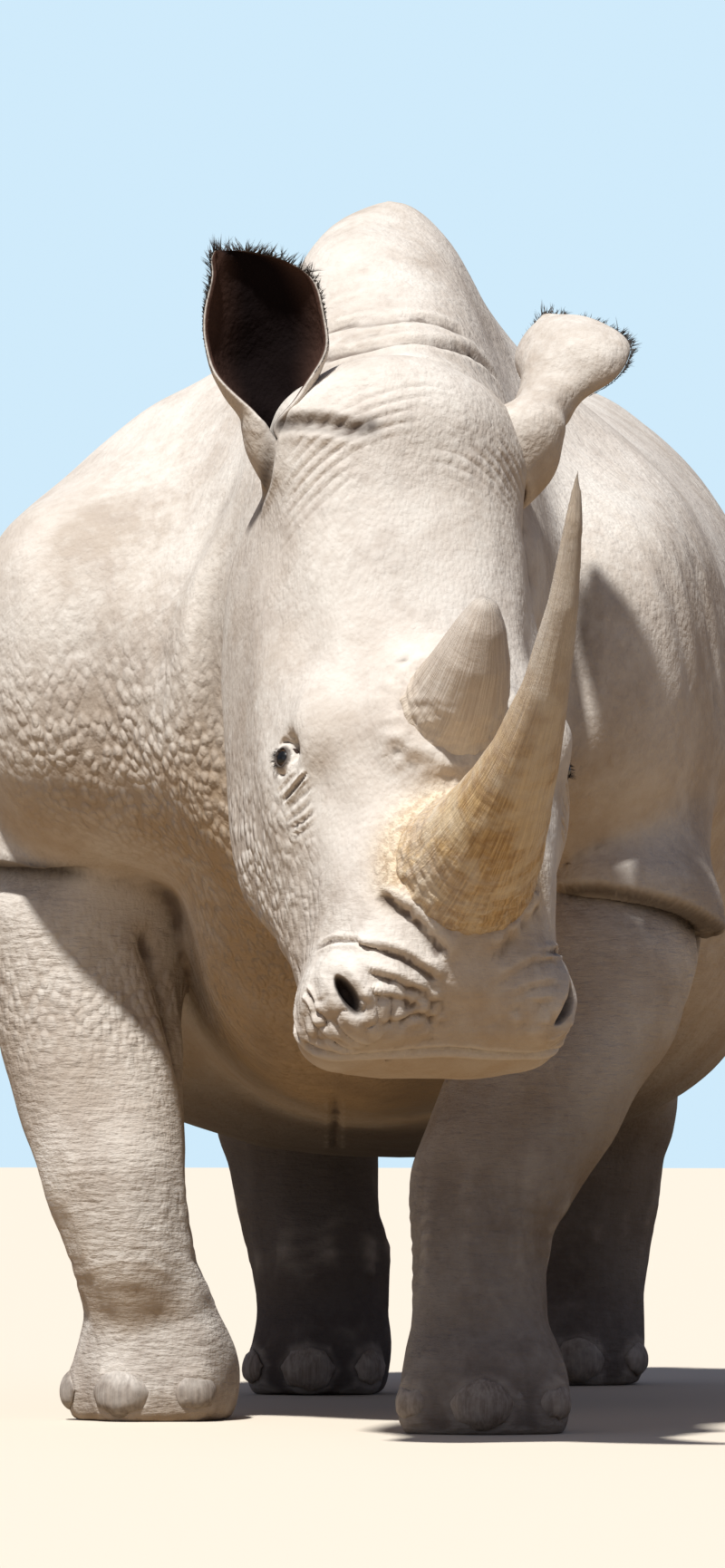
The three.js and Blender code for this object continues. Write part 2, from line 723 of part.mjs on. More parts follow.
// The neck ends in front of the shoulders, and the thighs begin below the flank.
const NECK_END = -230;
const THIGH_BOXES = {
  thigh_left: [[SPLIT / 2, 1240, 0], [760, 2300, 640]],
  thigh_right: [[-760, 1150, 0], [-SPLIT / 2, 2300, 640]],
};
const CHEST_END = 460;
const front = chestWrap.subtract(headRoom);
keep("neck", front.intersect(block([-900, -900, 0], [900, NECK_END - SPLIT, 2500])), "skin");
keep("chest", front.intersect(block([-900, NECK_END, 0], [900, CHEST_END - SPLIT, 2500])), "skin");
let trunk = trunkWrap.intersect(block([-900, CHEST_END, 0], [900, 2700, 2500]));
for (const [low, high] of Object.values(THIGH_BOXES)) {
  trunk = trunk.subtract(block(low.map((c) => c - SPLIT), high.map((c) => c + SPLIT)));
}
keep("trunk", trunk, "skin");
const chestRoom = grown(chestWrap);
const trunkRoom = grown(trunkWrap);

// Each leg is wrapped by itself, stands flat on the ground, and is cut below the shaft and ankle.
const ANKLE = 135;
const NAMES = {
  forearm_left: { shaft: "foreleg_left", foot: "forefoot_left", knee: 330 },
  forearm_right: { shaft: "foreleg_right", foot: "forefoot_right", knee: 330 },
  thigh_left: { shaft: "hindleg_left", foot: "hindfoot_left", knee: 350 },
  thigh_right: { shaft: "hindleg_right", foot: "hindfoot_right", knee: 350 },
};
const LEG_MARGIN = 118; // how far a leg is wrapped beyond the box it is cut from
const FOOT_REACH = 240; // how far a foot is wrapped to each side of its middle

// The box that a foreleg is cut from.
const forelegBox = ([x, y]) => [[x - 320, y - 320, 0], [x + 320, y + 520, 1080]];

function footBox([x, y]) {
  return [[x - FOOT_REACH, y - FOOT_REACH, -110], [x + FOOT_REACH, y + FOOT_REACH, ANKLE + 90]];
}

for (const [name, leg] of Object.entries(LEGS)) {
  const isFore = name.startsWith("forearm");
  const { shaft, foot, knee } = NAMES[name];
  const [low, high] = isFore ? forelegBox(leg.foot) : THIGH_BOXES[name];
  const field = isFore ? legFields[name] : torsoField;
  const limbBox = [low.map((c) => c - LEG_MARGIN), high.map((c) => c + LEG_MARGIN)];
  const footWrap = wrap(field, footBox(leg.foot), FACET.foot);
  const within = wrap(field, limbBox, FACET.leg).intersect(block(low, high));
  const upper = within.intersect(slab(knee + SPLIT, 3000));
  keep(name, isFore ? upper.subtract(chestRoom).subtract(trunkRoom) : upper.subtract(grown(trunk)), "skin");
  keep(shaft, within.intersect(slab(ANKLE + SPLIT, knee)), "skin");
  keep(foot, footWrap.intersect(slab(0, ANKLE)), "skin");
  for (const toe of Object.keys(TOES)) {
    keep(`nail_${foot}_${toe}`, nail(leg, toe, grown(footWrap)).intersect(slab(4, 200)), "nail");
  }
}

// The tail hangs behind the rump: a cylinder with its rings sized and bent along the chain of TAIL.
function tail() {
  const curve = new THREE.CatmullRomCurve3(TAIL.map((ball) => vector(ball.at)));
  const size = smoothTable(TAIL.map((ball, i) => [i / (TAIL.length - 1), ball.r]));
  const rod = new THREE.CylinderGeometry(1, 1, 1, 9, 11).translate(0, 0.5, 0);
  const { position } = rod.attributes;
  for (let i = 0; i < position.count; i++) {
    const r = size(position.getY(i));
    position.setXYZ(i, position.getX(i) * r, position.getY(i), position.getZ(i) * r);
  }
  return solidOf(alongCurve(rod, curve, new THREE.Vector3(1, 0, 0)));
}
keep("tail", tail().subtract(trunkRoom), "skin");

// The ears. The right one stands up with its mouth to the front. The left one leans out, with its
// mouth to the back.
const EAR_FORM = [
  [0, 50, 165],
  [0.2, 55, 160],
  [0.4, 74, 140],
  [0.6, 86, 118],
  [0.78, 80, 100],
  [0.92, 50, 88],
  [1, 20, 80],
];
const EARS = {
  ear_right: {
    root: [0, -735, 1335],
    bend: [-10, -720, 1560],
    tip: [-108, -745, 1640],
    opening: [0.1, -1, 0.1],
  },
  ear_left: {
    root: [268, -612, 1365],
    bend: [390, -570, 1430],
    tip: [428, -545, 1562],
    opening: [0.3, 1, 0.3],
  },
};
const EAR_CLEARANCE = 3; // room round the head where an ear meets it
const earRoom = grown(headWrap, EAR_CLEARANCE);
for (const [name, place] of Object.entries(EARS)) {
  keep(name, ear({ ...place, form: EAR_FORM }).subtract(earRoom).subtract(chestRoom), "skin");
}

// ---------------------------------------------------------------- the model

const group = new THREE.Group();
for (const [name, { solid, material }] of Object.entries(parts)) {
  const mesh = new THREE.Mesh(geometryOf(solid), MATERIALS[material]);
  mesh.name = name;
  group.add(mesh);
}
const bounds = new THREE.Box3().setFromObject(group);
const centre = bounds.getCenter(new THREE.Vector3());
group.position.set(-centre.x, -centre.y, -bounds.min.z);

export default group;
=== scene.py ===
# %% [markdown]
# # A white rhinoceros, life size
# A still museum model of a grown southern white rhinoceros. The solids of its body come from the frame.
# They are faceted and cut into parts, so one skin is grown over them here, folded and wrinkled, and
# given eyes with lids, grown horns, toenails and its few tufts of hair.

# %% The frame
import math
import time

import bpy
import numpy as np
from mathutils import Matrix, Vector
from mathutils.bvhtree import BVHTree


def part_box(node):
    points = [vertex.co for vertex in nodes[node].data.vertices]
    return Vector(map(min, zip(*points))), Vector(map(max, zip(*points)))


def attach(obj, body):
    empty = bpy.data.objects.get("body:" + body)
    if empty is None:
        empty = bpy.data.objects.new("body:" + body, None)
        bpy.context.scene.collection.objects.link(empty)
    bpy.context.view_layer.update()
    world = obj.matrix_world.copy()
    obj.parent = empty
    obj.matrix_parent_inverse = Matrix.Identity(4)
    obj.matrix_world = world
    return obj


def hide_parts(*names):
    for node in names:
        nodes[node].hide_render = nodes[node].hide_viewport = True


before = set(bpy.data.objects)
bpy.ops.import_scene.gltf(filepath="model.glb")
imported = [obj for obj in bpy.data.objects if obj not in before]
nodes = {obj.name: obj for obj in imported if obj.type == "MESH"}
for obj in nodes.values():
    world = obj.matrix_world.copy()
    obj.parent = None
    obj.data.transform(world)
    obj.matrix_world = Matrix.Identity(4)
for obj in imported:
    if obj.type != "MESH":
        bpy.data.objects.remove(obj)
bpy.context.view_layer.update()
started = time.time()

# %% [markdown]
# The animal faces -Y, its left is +X and the floor is at zero. The head has axes of its own, because it
# is low, turned to its left and nearly upright: u runs down the face to the lips, v to the animal's
# left and w out of the face. They are hung from the two eyes, which the frame places.

# %% The head's own axes
SIDES = (("left", 1), ("right", -1))
HEAD_YAW, HEAD_PITCH, HEAD_ROLL = math.radians(23), math.radians(62), math.radians(1.5)
EYE_U, EYE_W = 0.500, 0.038  # how far down the face and out of its middle plane the eyes sit

yaw = Matrix.Rotation(HEAD_YAW, 3, "Z")
roll = Matrix.Rotation(HEAD_ROLL, 3, "Y")
pitch = Matrix.Rotation(HEAD_PITCH, 3, "X")
turn = yaw @ roll @ pitch
head_axes = np.array([turn @ Vector((0, -1, 0)), turn @ Vector((1, 0, 0)), turn @ Vector((0, 0, 1))])


def middle(name):
    """The middle of a node's box."""
    low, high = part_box(name)
    return np.array((low + high) / 2)


eyes = {side: middle("eye_" + side) for side, _ in SIDES}
head_root = (eyes["left"] + eyes["right"]) / 2 - head_axes[0] * EYE_U - head_axes[2] * EYE_W


def to_head(points):
    """Points of the frame on the head's axes."""
    return (np.asarray(points) - head_root) @ head_axes.T


def from_head(points):
    """Points on the head's axes back in the frame."""
    return head_root + np.asarray(points) @ head_axes


print("head root", head_root.round(3))
print("eyes on the head's axes", to_head(eyes["left"]).round(3), to_head(eyes["right"]).round(3))

# %% [markdown]
# Modelling by hand goes one object at a time: everything is deselected, one piece is made active, and a
# modifier or an operator of edit mode is used on it. A few helpers keep each later step to a line or two.


# %% Helpers for objects
def choose(*pieces):
    """Selects these pieces alone, the first one active."""
    bpy.ops.object.select_all(action="DESELECT")
    for piece in pieces:
        piece.select_set(True)
    bpy.context.view_layer.objects.active = pieces[0]


def modify(piece, kind, **settings):
    """Puts a modifier on a piece and applies it."""
    choose(piece)
    modifier = piece.modifiers.new(kind.lower(), kind)
    for name, value in settings.items():
        setattr(modifier, name, value)
    bpy.ops.object.modifier_apply(modifier=modifier.name)


def edit(piece, operator, only=None, chosen=None, **settings):
    """Runs an operator of edit mode on all of a piece, or on the chosen vertices or polygons only."""
    choose(piece)
    bpy.context.tool_settings.mesh_select_mode = (only != "polygons", False, only == "polygons")
    bpy.ops.object.mode_set(mode="EDIT")
    bpy.ops.mesh.select_all(action="DESELECT" if only else "SELECT")
    if only:
        bpy.ops.object.mode_set(mode="OBJECT")
        getattr(piece.data, only).foreach_set("select", chosen)
        bpy.ops.object.mode_set(mode="EDIT")
    operator(**settings)
    bpy.ops.object.mode_set(mode="OBJECT")


def link(name, mesh):
    """A new object in the scene for a mesh."""
    piece = bpy.data.objects.new(name, mesh)
    bpy.context.scene.collection.objects.link(piece)
    return piece


def copy_of(names, called):
    """Copies of frame nodes, merged and joined into one new piece."""
    copies = []
    for name in names:
        twin = nodes[name].copy()
        twin.data = nodes[name].data.copy()
        twin.parent = None
        bpy.context.scene.collection.objects.link(twin)
        copies.append(twin)
    choose(*copies)
    if len(copies) > 1:
        bpy.ops.object.join()
    piece = bpy.context.object
    for key in [k for k in piece.keys() if k.startswith("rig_")]:
        del piece[key]
    piece.name = piece.data.name = called
    piece.data.materials.clear()
    edit(piece, bpy.ops.mesh.remove_doubles, threshold=0.00005)
    return piece


def hand_over(piece, slot, *replaced):
    """Shades a finished piece smooth and gives it its body and the nodes that it replaces. Its slot is not
    used.
    """
    choose(piece)
    bpy.ops.object.shade_smooth()
    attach(piece, "root")
    if replaced:
        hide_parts(*replaced)


# %% Helpers for points
def points_of(piece):
    """The places of a piece's vertices."""
    found = np.empty(len(piece.data.vertices) * 3)
    piece.data.vertices.foreach_get("co", found)
    return found.reshape(-1, 3)


def normals_of(piece):
    """Which way the surface faces at each vertex."""
    found = np.empty(len(piece.data.vertices) * 3, np.float32)
    piece.data.vertex_normals.foreach_get("vector", found)
    return found.reshape(-1, 3).astype(float)


def edges_of(piece):
    """The two ends of each edge of a piece."""
    found = np.empty(len(piece.data.edges) * 2, np.int32)
    piece.data.edges.foreach_get("vertices", found)
    return found.reshape(-1, 2)


def place_points(piece, points):
    """Moves a piece's vertices to these places."""
    piece.data.vertices.foreach_set("co", np.asarray(points, np.float32).ravel())
    piece.data.update()


def store(piece, name, values):
    """Keeps a value for each vertex of a piece, for its material to read."""
    attribute = piece.data.attributes.new(name, "FLOAT", "POINT")
    attribute.data.foreach_set("value", np.asarray(values, np.float32))


def tree_of(piece):
    """A search tree that finds the nearest place on a piece."""
    faces = [tuple(face.vertices) for face in piece.data.polygons]
    return BVHTree.FromPolygons(points_of(piece).tolist(), faces, epsilon=0.0)


def unit(way):
    """A direction of length 1."""
    return np.asarray(way, float) / np.linalg.norm(way)


def on_axes(points, at, *axes):
    """Points as seen from a place, along these axes."""
    return (points - at) @ np.array(axes).T


def rise(value, low, high):
    """From 0 at low to 1 at high, smoothly, and level beyond them."""
    t = np.clip((np.asarray(value, float) - low) / (high - low), 0, 1)
    return t * t * (3 - 2 * t)


def hill(value, middle, reach):
    """1 at the middle, falling smoothly to 0 at this reach on either side."""
    return 1 - rise(np.abs(np.asarray(value, float) - middle), 0, reach)


def bell(value):
    """1 where the value is 0, falling away like a bell on either side."""
    return np.exp(-(value**2))


class Relaxer:
    """Evens out values over the surface of a mesh, by averaging each vertex with its neighbours."""

    def __init__(self, piece):
        edges = edges_of(piece)
        self.one, self.other = edges.T
        self.count = len(piece.data.vertices)
        self.degree = np.maximum(np.bincount(edges.ravel(), minlength=self.count), 1)

    def means(self, values):
        """The mean of each vertex's neighbours."""
        total = np.empty_like(values)
        for k in range(values.shape[1]):
            column = values[:, k]
            total[:, k] = np.bincount(self.one, column[self.other], self.count)
            total[:, k] += np.bincount(self.other, column[self.one], self.count)
        return total / self.degree[:, None]

    def soften(self, values, share, rounds):
        """Moves values towards their neighbours' mean by a share, round after round."""
        values = values.copy()
        for _ in range(rounds):
            values += share * (self.means(values) - values)
        return values

    def smooth(self, values, share, rounds):
        """Softens, then gives back what the softening shrank."""
        soft = self.soften(values, share, rounds)
        return soft + self.soften(values - soft, share, rounds)


# %% [markdown]
# Natural patterns need soft random change that is the same on every run. This is value noise: random
# numbers from a fixed seed at the corners of a grid, blended smoothly between them.


# %% Soft noise
NOISE_CELLS = 32
NOISE_GRID = np.random.default_rng(11).uniform(-1, 1, (NOISE_CELLS, NOISE_CELLS, NOISE_CELLS))


def noise(points, size, shift=0.0):
    """Smooth noise from about -1 to 1, with lumps of this size."""
    at = np.asarray(points) / size + shift
    cell = np.floor(at).astype(int)
    t = at - cell
    t = t * t * (3 - 2 * t)
    total = np.zeros(len(at))
    for corner in np.ndindex(2, 2, 2):
        along_x, along_y, along_z = np.where(corner, t, 1 - t).T
        x, y, z = (cell + corner).T % NOISE_CELLS
        total += along_x * along_y * along_z * NOISE_GRID[x, y, z]
    return total


# %% [markdown]
# ## The skin
# The hide of a rhinoceros is one closed coat, so all the solids of flesh become one mesh. Each copy is
# grown by a millimetre to close the hairline cuts between the parts, and a voxel remesh wraps them all
# in one even net. The facets are then relaxed away: far on the barrel of the trunk, where they are
# large, and little on the head, the tail and the lower legs, which have small forms to keep.

# %% One net over the flesh
FINE_NET = 0.009
NET = FINE_NET
GROWTH = 0.0012
APART = ("eye_", "horn_", "nail_", "ear_")
flesh = [name for name in nodes if not name.startswith(APART)]
nail_names = [name for name in nodes if name.startswith("nail_")]
skin = copy_of(flesh, "skin")
modify(skin, "DISPLACE", strength=GROWTH, mid_level=0)
modify(skin, "REMESH", mode="VOXEL", voxel_size=NET)
print("net over", len(flesh), "solids:", len(skin.data.vertices), "points")


def largest_island(piece):
    """Keeps the largest closed surface of a piece and drops the rest."""
    relaxer = Relaxer(piece)
    label = np.arange(relaxer.count)
    while True:
        before = label.copy()
        np.minimum.at(label, relaxer.one, label[relaxer.other])
        np.minimum.at(label, relaxer.other, label[relaxer.one])
        label = label[label]
        if (label == before).all():
            break
    keep = label == np.bincount(label).argmax()
    edit(piece, bpy.ops.mesh.delete, "vertices", ~keep, type="VERT")
    print("kept", int(keep.sum()), "points and dropped", int((~keep).sum()))


largest_island(skin)

# %% Relax the facets
points = points_of(skin)
on_head = rise(to_head(points)[:, 0], 0.0, 0.10) * rise(-points[:, 1], 0.72, 0.86)
on_tail = rise(points[:, 1], 1.64, 1.70)
on_leg = rise(-points[:, 2], -0.46, -0.36)
loose = np.clip(1 - on_head - on_tail - on_leg, 0, 1)
relaxer = Relaxer(skin)
rounds = int(14 * (FINE_NET / NET) ** 2)
points = relaxer.smooth(points, 0.5, max(rounds, 4))
points = relaxer.smooth(points, 0.5 * loose[:, None], rounds * 5)
place_points(skin, points)
print("relaxed in", round(time.time() - started, 1), "s")

# %% [markdown]
# The net is even, but the forms aren't. The head has folds a few millimetres across, and the lids and
# nostrils are finer still, so the faces there are split into four, and again where it is needed. A
# trunk that is mostly plain keeps its wide net.


# %% Split the faces where small forms will go
def split_faces(piece, where):
    """Cuts each face whose middle passes the test into four."""
    centres = np.empty(len(piece.data.polygons) * 3)
    piece.data.polygons.foreach_get("center", centres)
    chosen = where(centres.reshape(-1, 3))
    edit(piece, bpy.ops.mesh.subdivide, "polygons", chosen, number_cuts=1)
    print("split", int(chosen.sum()), "faces, now", len(piece.data.vertices), "points")


def close_to(places, reach, axes=np.asarray):
    """A test for points within reach of any of these places, which may be on the head's axes."""
    places = np.asarray(places)

    def test(centres):
        at = axes(centres)
        near = ((at > places.min(0) - reach) & (at < places.max(0) + reach)).all(1)
        gaps = [np.linalg.norm(at[near] - place, axis=1) for place in places]
        found = np.zeros(len(at), bool)
        found[near] = np.min(gaps, axis=0) < reach
        return found

    return test


def on_front_of_head(centres):
    """The whole front of the head, from crown to lips."""
    return (to_head(centres)[:, 0] > 0.0) & (centres[:, 1] < -0.93) & (centres[:, 2] > 0.4)


def on_brow(centres):
    """The crown and brow between the ears, where the wrinkles run close together."""
    return (to_head(centres)[:, 0] < 0.22) & (centres[:, 1] < -0.93) & (centres[:, 2] > 1.15)


def mirrored(at):
    """A place on the head and its twin on the other side."""
    return [np.asarray(at), np.asarray(at) * (1, -1, 1)]


NOSTRIL = (0.877, 0.160, 0.030)
eye_places = [to_head(eyes[side]) for side, _ in SIDES]
nail_places = [middle(name) for name in nail_names]
split_faces(skin, on_front_of_head)
split_faces(skin, close_to(eye_places + mirrored(NOSTRIL), 0.075, to_head))
split_faces(skin, close_to(eye_places, 0.052, to_head))
split_faces(skin, close_to(mirrored(NOSTRIL), 0.050, to_head))
split_faces(skin, close_to(eye_places, 0.036, to_head))
split_faces(skin, on_brow)
split_faces(skin, close_to(nail_places, 0.085))

# %% [markdown]
# ## Modelling clay
# What follows is worked like clay: every form is a push along the surface's own normal. A swelling is
# a soft mound or hollow, a crease is a groove along a line laid on the skin with a small roll on each
# side, and a fold stands out on one side of its line and drops away on the other, as loose hide does.
# A fold may also slip down over its own edge, so that it laps over what lies under it.


# %% Smooth lines
def smooth_between(a, b, c, d, t):
    """The smooth curve from b to c, for t from 0 to 1, with a before them and d behind."""
    return 0.5 * (2 * b + (c - a) * t + (2 * a - 5 * b + 4 * c - d) * t**2 + (3 * b - a - 3 * c + d) * t**3)


def line_through(corners, step=0.004):
    """A smooth line through a few corners, as evenly spaced points."""
    corners = np.asarray(corners, float)
    padded = np.vstack([2 * corners[0] - corners[1], corners, 2 * corners[-1] - corners[-2]])
    run = []
    for a, b, c, d in zip(padded, padded[1:], padded[2:], padded[3:]):
        count = max(int(np.linalg.norm(c - b) / step), 2)
        t = np.linspace(0, 1, count, endpoint=False)[:, None]
        run.append(smooth_between(a, b, c, d, t))
    return np.vstack(run + [corners[-1:]])


def beside(points, line, reach):
    """The points within reach of a line: which, how far from it, how far along it, and from where."""
    low, high = line.min(0) - reach, line.max(0) + reach
    near = np.flatnonzero(((points > low) & (points < high)).all(1))
    far = np.full(len(near), np.inf)
    best = np.zeros(len(near), int)
    stretch = 40  # how many points of the line are looked at together, to save memory
    for first in range(0, len(line), stretch):
        gap = np.linalg.norm(points[near][:, None] - line[None, first : first + stretch], axis=2)
        which = gap.argmin(1)
        distance = gap[np.arange(len(near)), which]
        better = distance < far
        far[better] = distance[better]
        best[better] = which[better] + first
    keep = far < reach
    return near[keep], far[keep], best[keep] / max(len(line) - 1, 1), line[best[keep]]


# %% The clay
class Clay:
    """A piece being shaped. Pushes add up in self.shift, and slips in self.slip, until settle()."""

    def __init__(self, piece):
        self.piece = piece
        self.relaxer = Relaxer(piece)
        self.renew()

    def renew(self):
        """Looks at the piece again after it has changed."""
        self.points = points_of(self.piece)
        self.normals = normals_of(self.piece)
        self.head = to_head(self.points)
        self.shift = np.zeros(len(self.points))
        self.slip = np.zeros((len(self.points), 3))
        self.surface = tree_of(self.piece)

    def take(self, points):
        """Moves the piece's points to new places."""
        place_points(self.piece, points)
        self.renew()

    def settle(self, soften=0):
        """Carries out what has been pushed and slipped, softened round by round."""
        shift = self.relaxer.soften(self.shift[:, None], 0.5, soften)
        print("clay pushed by", round(shift.min() * 1000, 1), "to", round(shift.max() * 1000, 1), "mm")
        self.take(self.points + self.normals * shift + self.slip)

    def laid(self, corners):
        """A line laid on the surface."""
        return np.array([self.surface.find_nearest(Vector(p))[0] for p in line_through(corners)])

    def swell(self, at, reach, height, frame_axes=False):
        """A soft mound, or a hollow where height is negative. On the head's axes it comes on both sides."""
        at, reach = np.asarray(at, float), np.asarray(reach, float)
        where = self.points.copy() if frame_axes else self.head.copy()
        if not frame_axes:
            where[:, 1] = np.abs(where[:, 1])
        self.shift += height * np.exp(-((((where - at) / reach) ** 2).sum(1)))

    def crease(self, corners, width, depth, lip=0.35):
        """A groove along a line, with a roll of skin on each side, fading at its ends."""
        near, far, along, _ = beside(self.points, self.laid(corners), width * 4)
        fade = rise(along, -0.02, 0.22) * rise(1 - along, -0.02, 0.22)
        fade = fade * (0.85 + 0.3 * noise(self.points[near], 0.05, 7))
        x = far / width
        self.shift[near] += depth * fade * (lip * bell((x - 1.9) / 0.9) - np.exp(-1.3 * x * x))

    def fold(self, corners, outward, stand, spread, drop, spread_below, edge=0.012, lap=0.0, ends=0.18):
        """A fold that stands out on the side it faces, drops away on the other and may lap over."""
        near, far, along, foot = beside(self.points, self.laid(corners), max(spread, spread_below) * 2.2)
        outward = np.asarray(outward, float)
        fade = rise(along, -0.02, ends) * rise(1 - along, -0.02, ends)
        past = (self.points[near] - foot) @ outward
        side = rise(past, -edge, edge)
        above = stand * bell(far / spread)
        below = -drop * bell(far / spread_below)
        self.shift[near] += fade * (below + side * (above - below))
        lapping = lap * fade * rise(past, -edge, 0) * bell(far / (2 * edge))
        self.slip[near] -= lapping[:, None] * outward

    def collar(self, shape, reach, height, lumps):
        """Skin that rises round the foot of something that grows out of it."""
        low, high = (f(points_of(shape), axis=0) for f in (np.min, np.max))
        inside = (self.points > low - reach * 2) & (self.points < high + reach * 2)
        near = np.flatnonzero(inside.all(1))
        tree = tree_of(shape)
        gap = np.array([tree.find_nearest(Vector(p))[3] for p in self.points[near]])
        uneven = 1 + lumps * noise(self.points[near], 0.018, 13)
        self.shift[near] += height * uneven * bell(gap / reach)


def both_sides(corners):
    """A line on the head and its mirror twin."""
    return [from_head(corners), from_head(np.asarray(corners) * (1, -1, 1))]


clay = Clay(skin)
below_crown = clay.head[:, 0] > 0.02
clay.take(clay.relaxer.smooth(clay.points, 0.4 * below_crown[:, None], 3))
print("clay ready at", round(time.time() - started, 1), "s")

# %% [markdown]
# ## The forms of the head
# A white rhinoceros has a long flat face with squared edges. The orbit stands out over the cheek, the
# nostrils bulge beside the foremost horn, and the wide upper lip rolls over the lower one. The large
# forms are mounds and hollows with soft edges. The skin is also drawn up a little round the foot of each
# horn and toenail, because they grow out of it.

# %% Mounds and hollows of the head
MOUNDS = [
    # place (u, v, w), reach, height
    ((0.470, 0.165, 0.085), (0.050, 0.030, 0.040), 0.007),  # brow over the eye
    ((0.560, 0.165, 0.075), (0.045, 0.030, 0.040), -0.007),  # hollow before the eye
    ((0.360, 0.165, 0.060), (0.080, 0.040, 0.060), -0.010),  # temple
    ((0.520, 0.190, -0.040), (0.090, 0.040, 0.035), 0.008),  # cheek bone
    ((0.660, 0.165, -0.030), (0.080, 0.040, 0.050), -0.010),  # hollow of the cheek
    ((0.870, 0.150, 0.015), (0.045, 0.035, 0.045), 0.010),  # nostril
    ((0.800, 0.160, 0.030), (0.030, 0.040, 0.050), -0.007),  # behind the nostril
    ((0.905, 0.110, -0.010), (0.030, 0.070, 0.030), 0.007),  # upper lip
    ((0.895, 0.150, -0.095), (0.032, 0.036, 0.045), 0.012),  # corners of the lower lip
    ((0.905, 0.020, 0.030), (0.030, 0.060, 0.030), -0.006),  # dip over the lip
    ((0.600, 0.000, 0.100), (0.035, 0.080, 0.040), -0.010),  # saddle between the horns
]
# how far the skin is drawn up, how high, and how unevenly
HORN_COLLARS = {"horn_front": (0.016, 0.009, 0.5), "horn_rear": (0.036, 0.025, 0.25)}
NAIL_COLLAR = (0.009, 0.0025, 0.2)

for at, reach, height in MOUNDS:
    clay.swell(at, reach, height)
clay.settle(2)
for name, collar in HORN_COLLARS.items():
    clay.collar(nodes[name], *collar)
for name in nail_names:
    clay.collar(nodes[name], *NAIL_COLLAR)
clay.settle()

# %% [markdown]
# The mouth is one groove round the muzzle. Over it the loose skin beside the horn lies in thick rolls,
# deeper on the right side than on the left. The edges of the lips have fine creases, and the front of
# the muzzle is lumpy.

# %% Mouth, and the thick folds of the muzzle
HALF_MOUTH = [(0.72, 0.155, -0.125), (0.80, 0.170, -0.100), (0.87, 0.160, -0.070), (0.905, 0.120, -0.045)]
MOUTH = HALF_MOUTH + [(0.915, 0.000, -0.035)] + [(u, -v, w) for u, v, w in reversed(HALF_MOUTH)]
MUZZLE_ROLLS = [
    # a roll of loose skin: its edge, how far it stands, how wide it is, how deep the cleft under it is
    ([(0.745, -0.118, 0.085), (0.767, -0.098, 0.099), (0.795, -0.069, 0.103), (0.835, -0.037, 0.091),
      (0.856, -0.031, 0.080)], 0.013, 0.024, 0.008),
    ([(0.812, -0.150, 0.055), (0.827, -0.120, 0.076), (0.840, -0.092, 0.082), (0.856, -0.062, 0.076),
      (0.872, -0.034, 0.066)], 0.010, 0.016, 0.008),
    ([(0.850, -0.140, 0.055), (0.859, -0.125, 0.063), (0.868, -0.097, 0.064), (0.883, -0.053, 0.051)],
     0.008, 0.013, 0.007),
    ([(0.872, -0.138, 0.045), (0.884, -0.110, 0.048), (0.890, -0.080, 0.045), (0.897, -0.050, 0.032)],
     0.006, 0.010, 0.006),
    ([(0.905, -0.120, 0.012), (0.903, -0.090, 0.022), (0.901, -0.055, 0.024), (0.905, -0.015, 0.012)],
     0.005, 0.010, 0.006),
]
LIP_LINES = [
    [(0.782, -0.184, -0.022), (0.790, -0.170, 0.020), (0.812, -0.140, 0.060), (0.832, -0.101, 0.080)],
    [(0.842, -0.205, -0.020), (0.862, -0.196, -0.010), (0.884, -0.184, -0.012)],
    [(0.888, -0.170, 0.000), (0.904, -0.150, -0.012), (0.913, -0.120, -0.020)],
    [(0.900, -0.172, -0.028), (0.913, -0.150, -0.036), (0.918, -0.128, -0.040)],
]
up_face = -head_axes[0]

clay.crease(from_head(MOUTH), 0.006, 0.016, 0.3)
for corners, stand, spread, cleft in MUZZLE_ROLLS:
    clay.fold(from_head(corners), up_face, stand, spread, cleft, spread * 0.8, edge=0.0048)
    twin = from_head(np.array(corners) * (1, -1, 1) + (0.004, 0, 0))
    clay.fold(twin, up_face, stand * 0.45, spread * 1.2, cleft * 0.3, spread * 0.9, edge=0.006)
clay.settle(1)
for corners in LIP_LINES:
    for line in both_sides(corners):
        clay.crease(line, 0.0040, 0.0042, 0.8)
u, v, w = clay.head.T
lumpy = hill(u, 0.893, 0.040) * rise(w, -0.075, -0.03) * rise(0.075 - w, 0, 0.02)
lumpy *= rise(-v, 0.01, 0.05) + 0.35 * rise(v, 0.03, 0.08)
clay.shift += 0.0050 * lumpy * (np.abs(noise(clay.points, 0.017, 17)) * 2 - 0.6)
clay.settle()

# %% [markdown]
# ## Eyes and lids
# The eye is small for the animal, a dark ball set well back. The skin is drawn over the ball as a lid
# a few millimetres thick, and dives in behind the lid's edge at an almond-shaped opening.

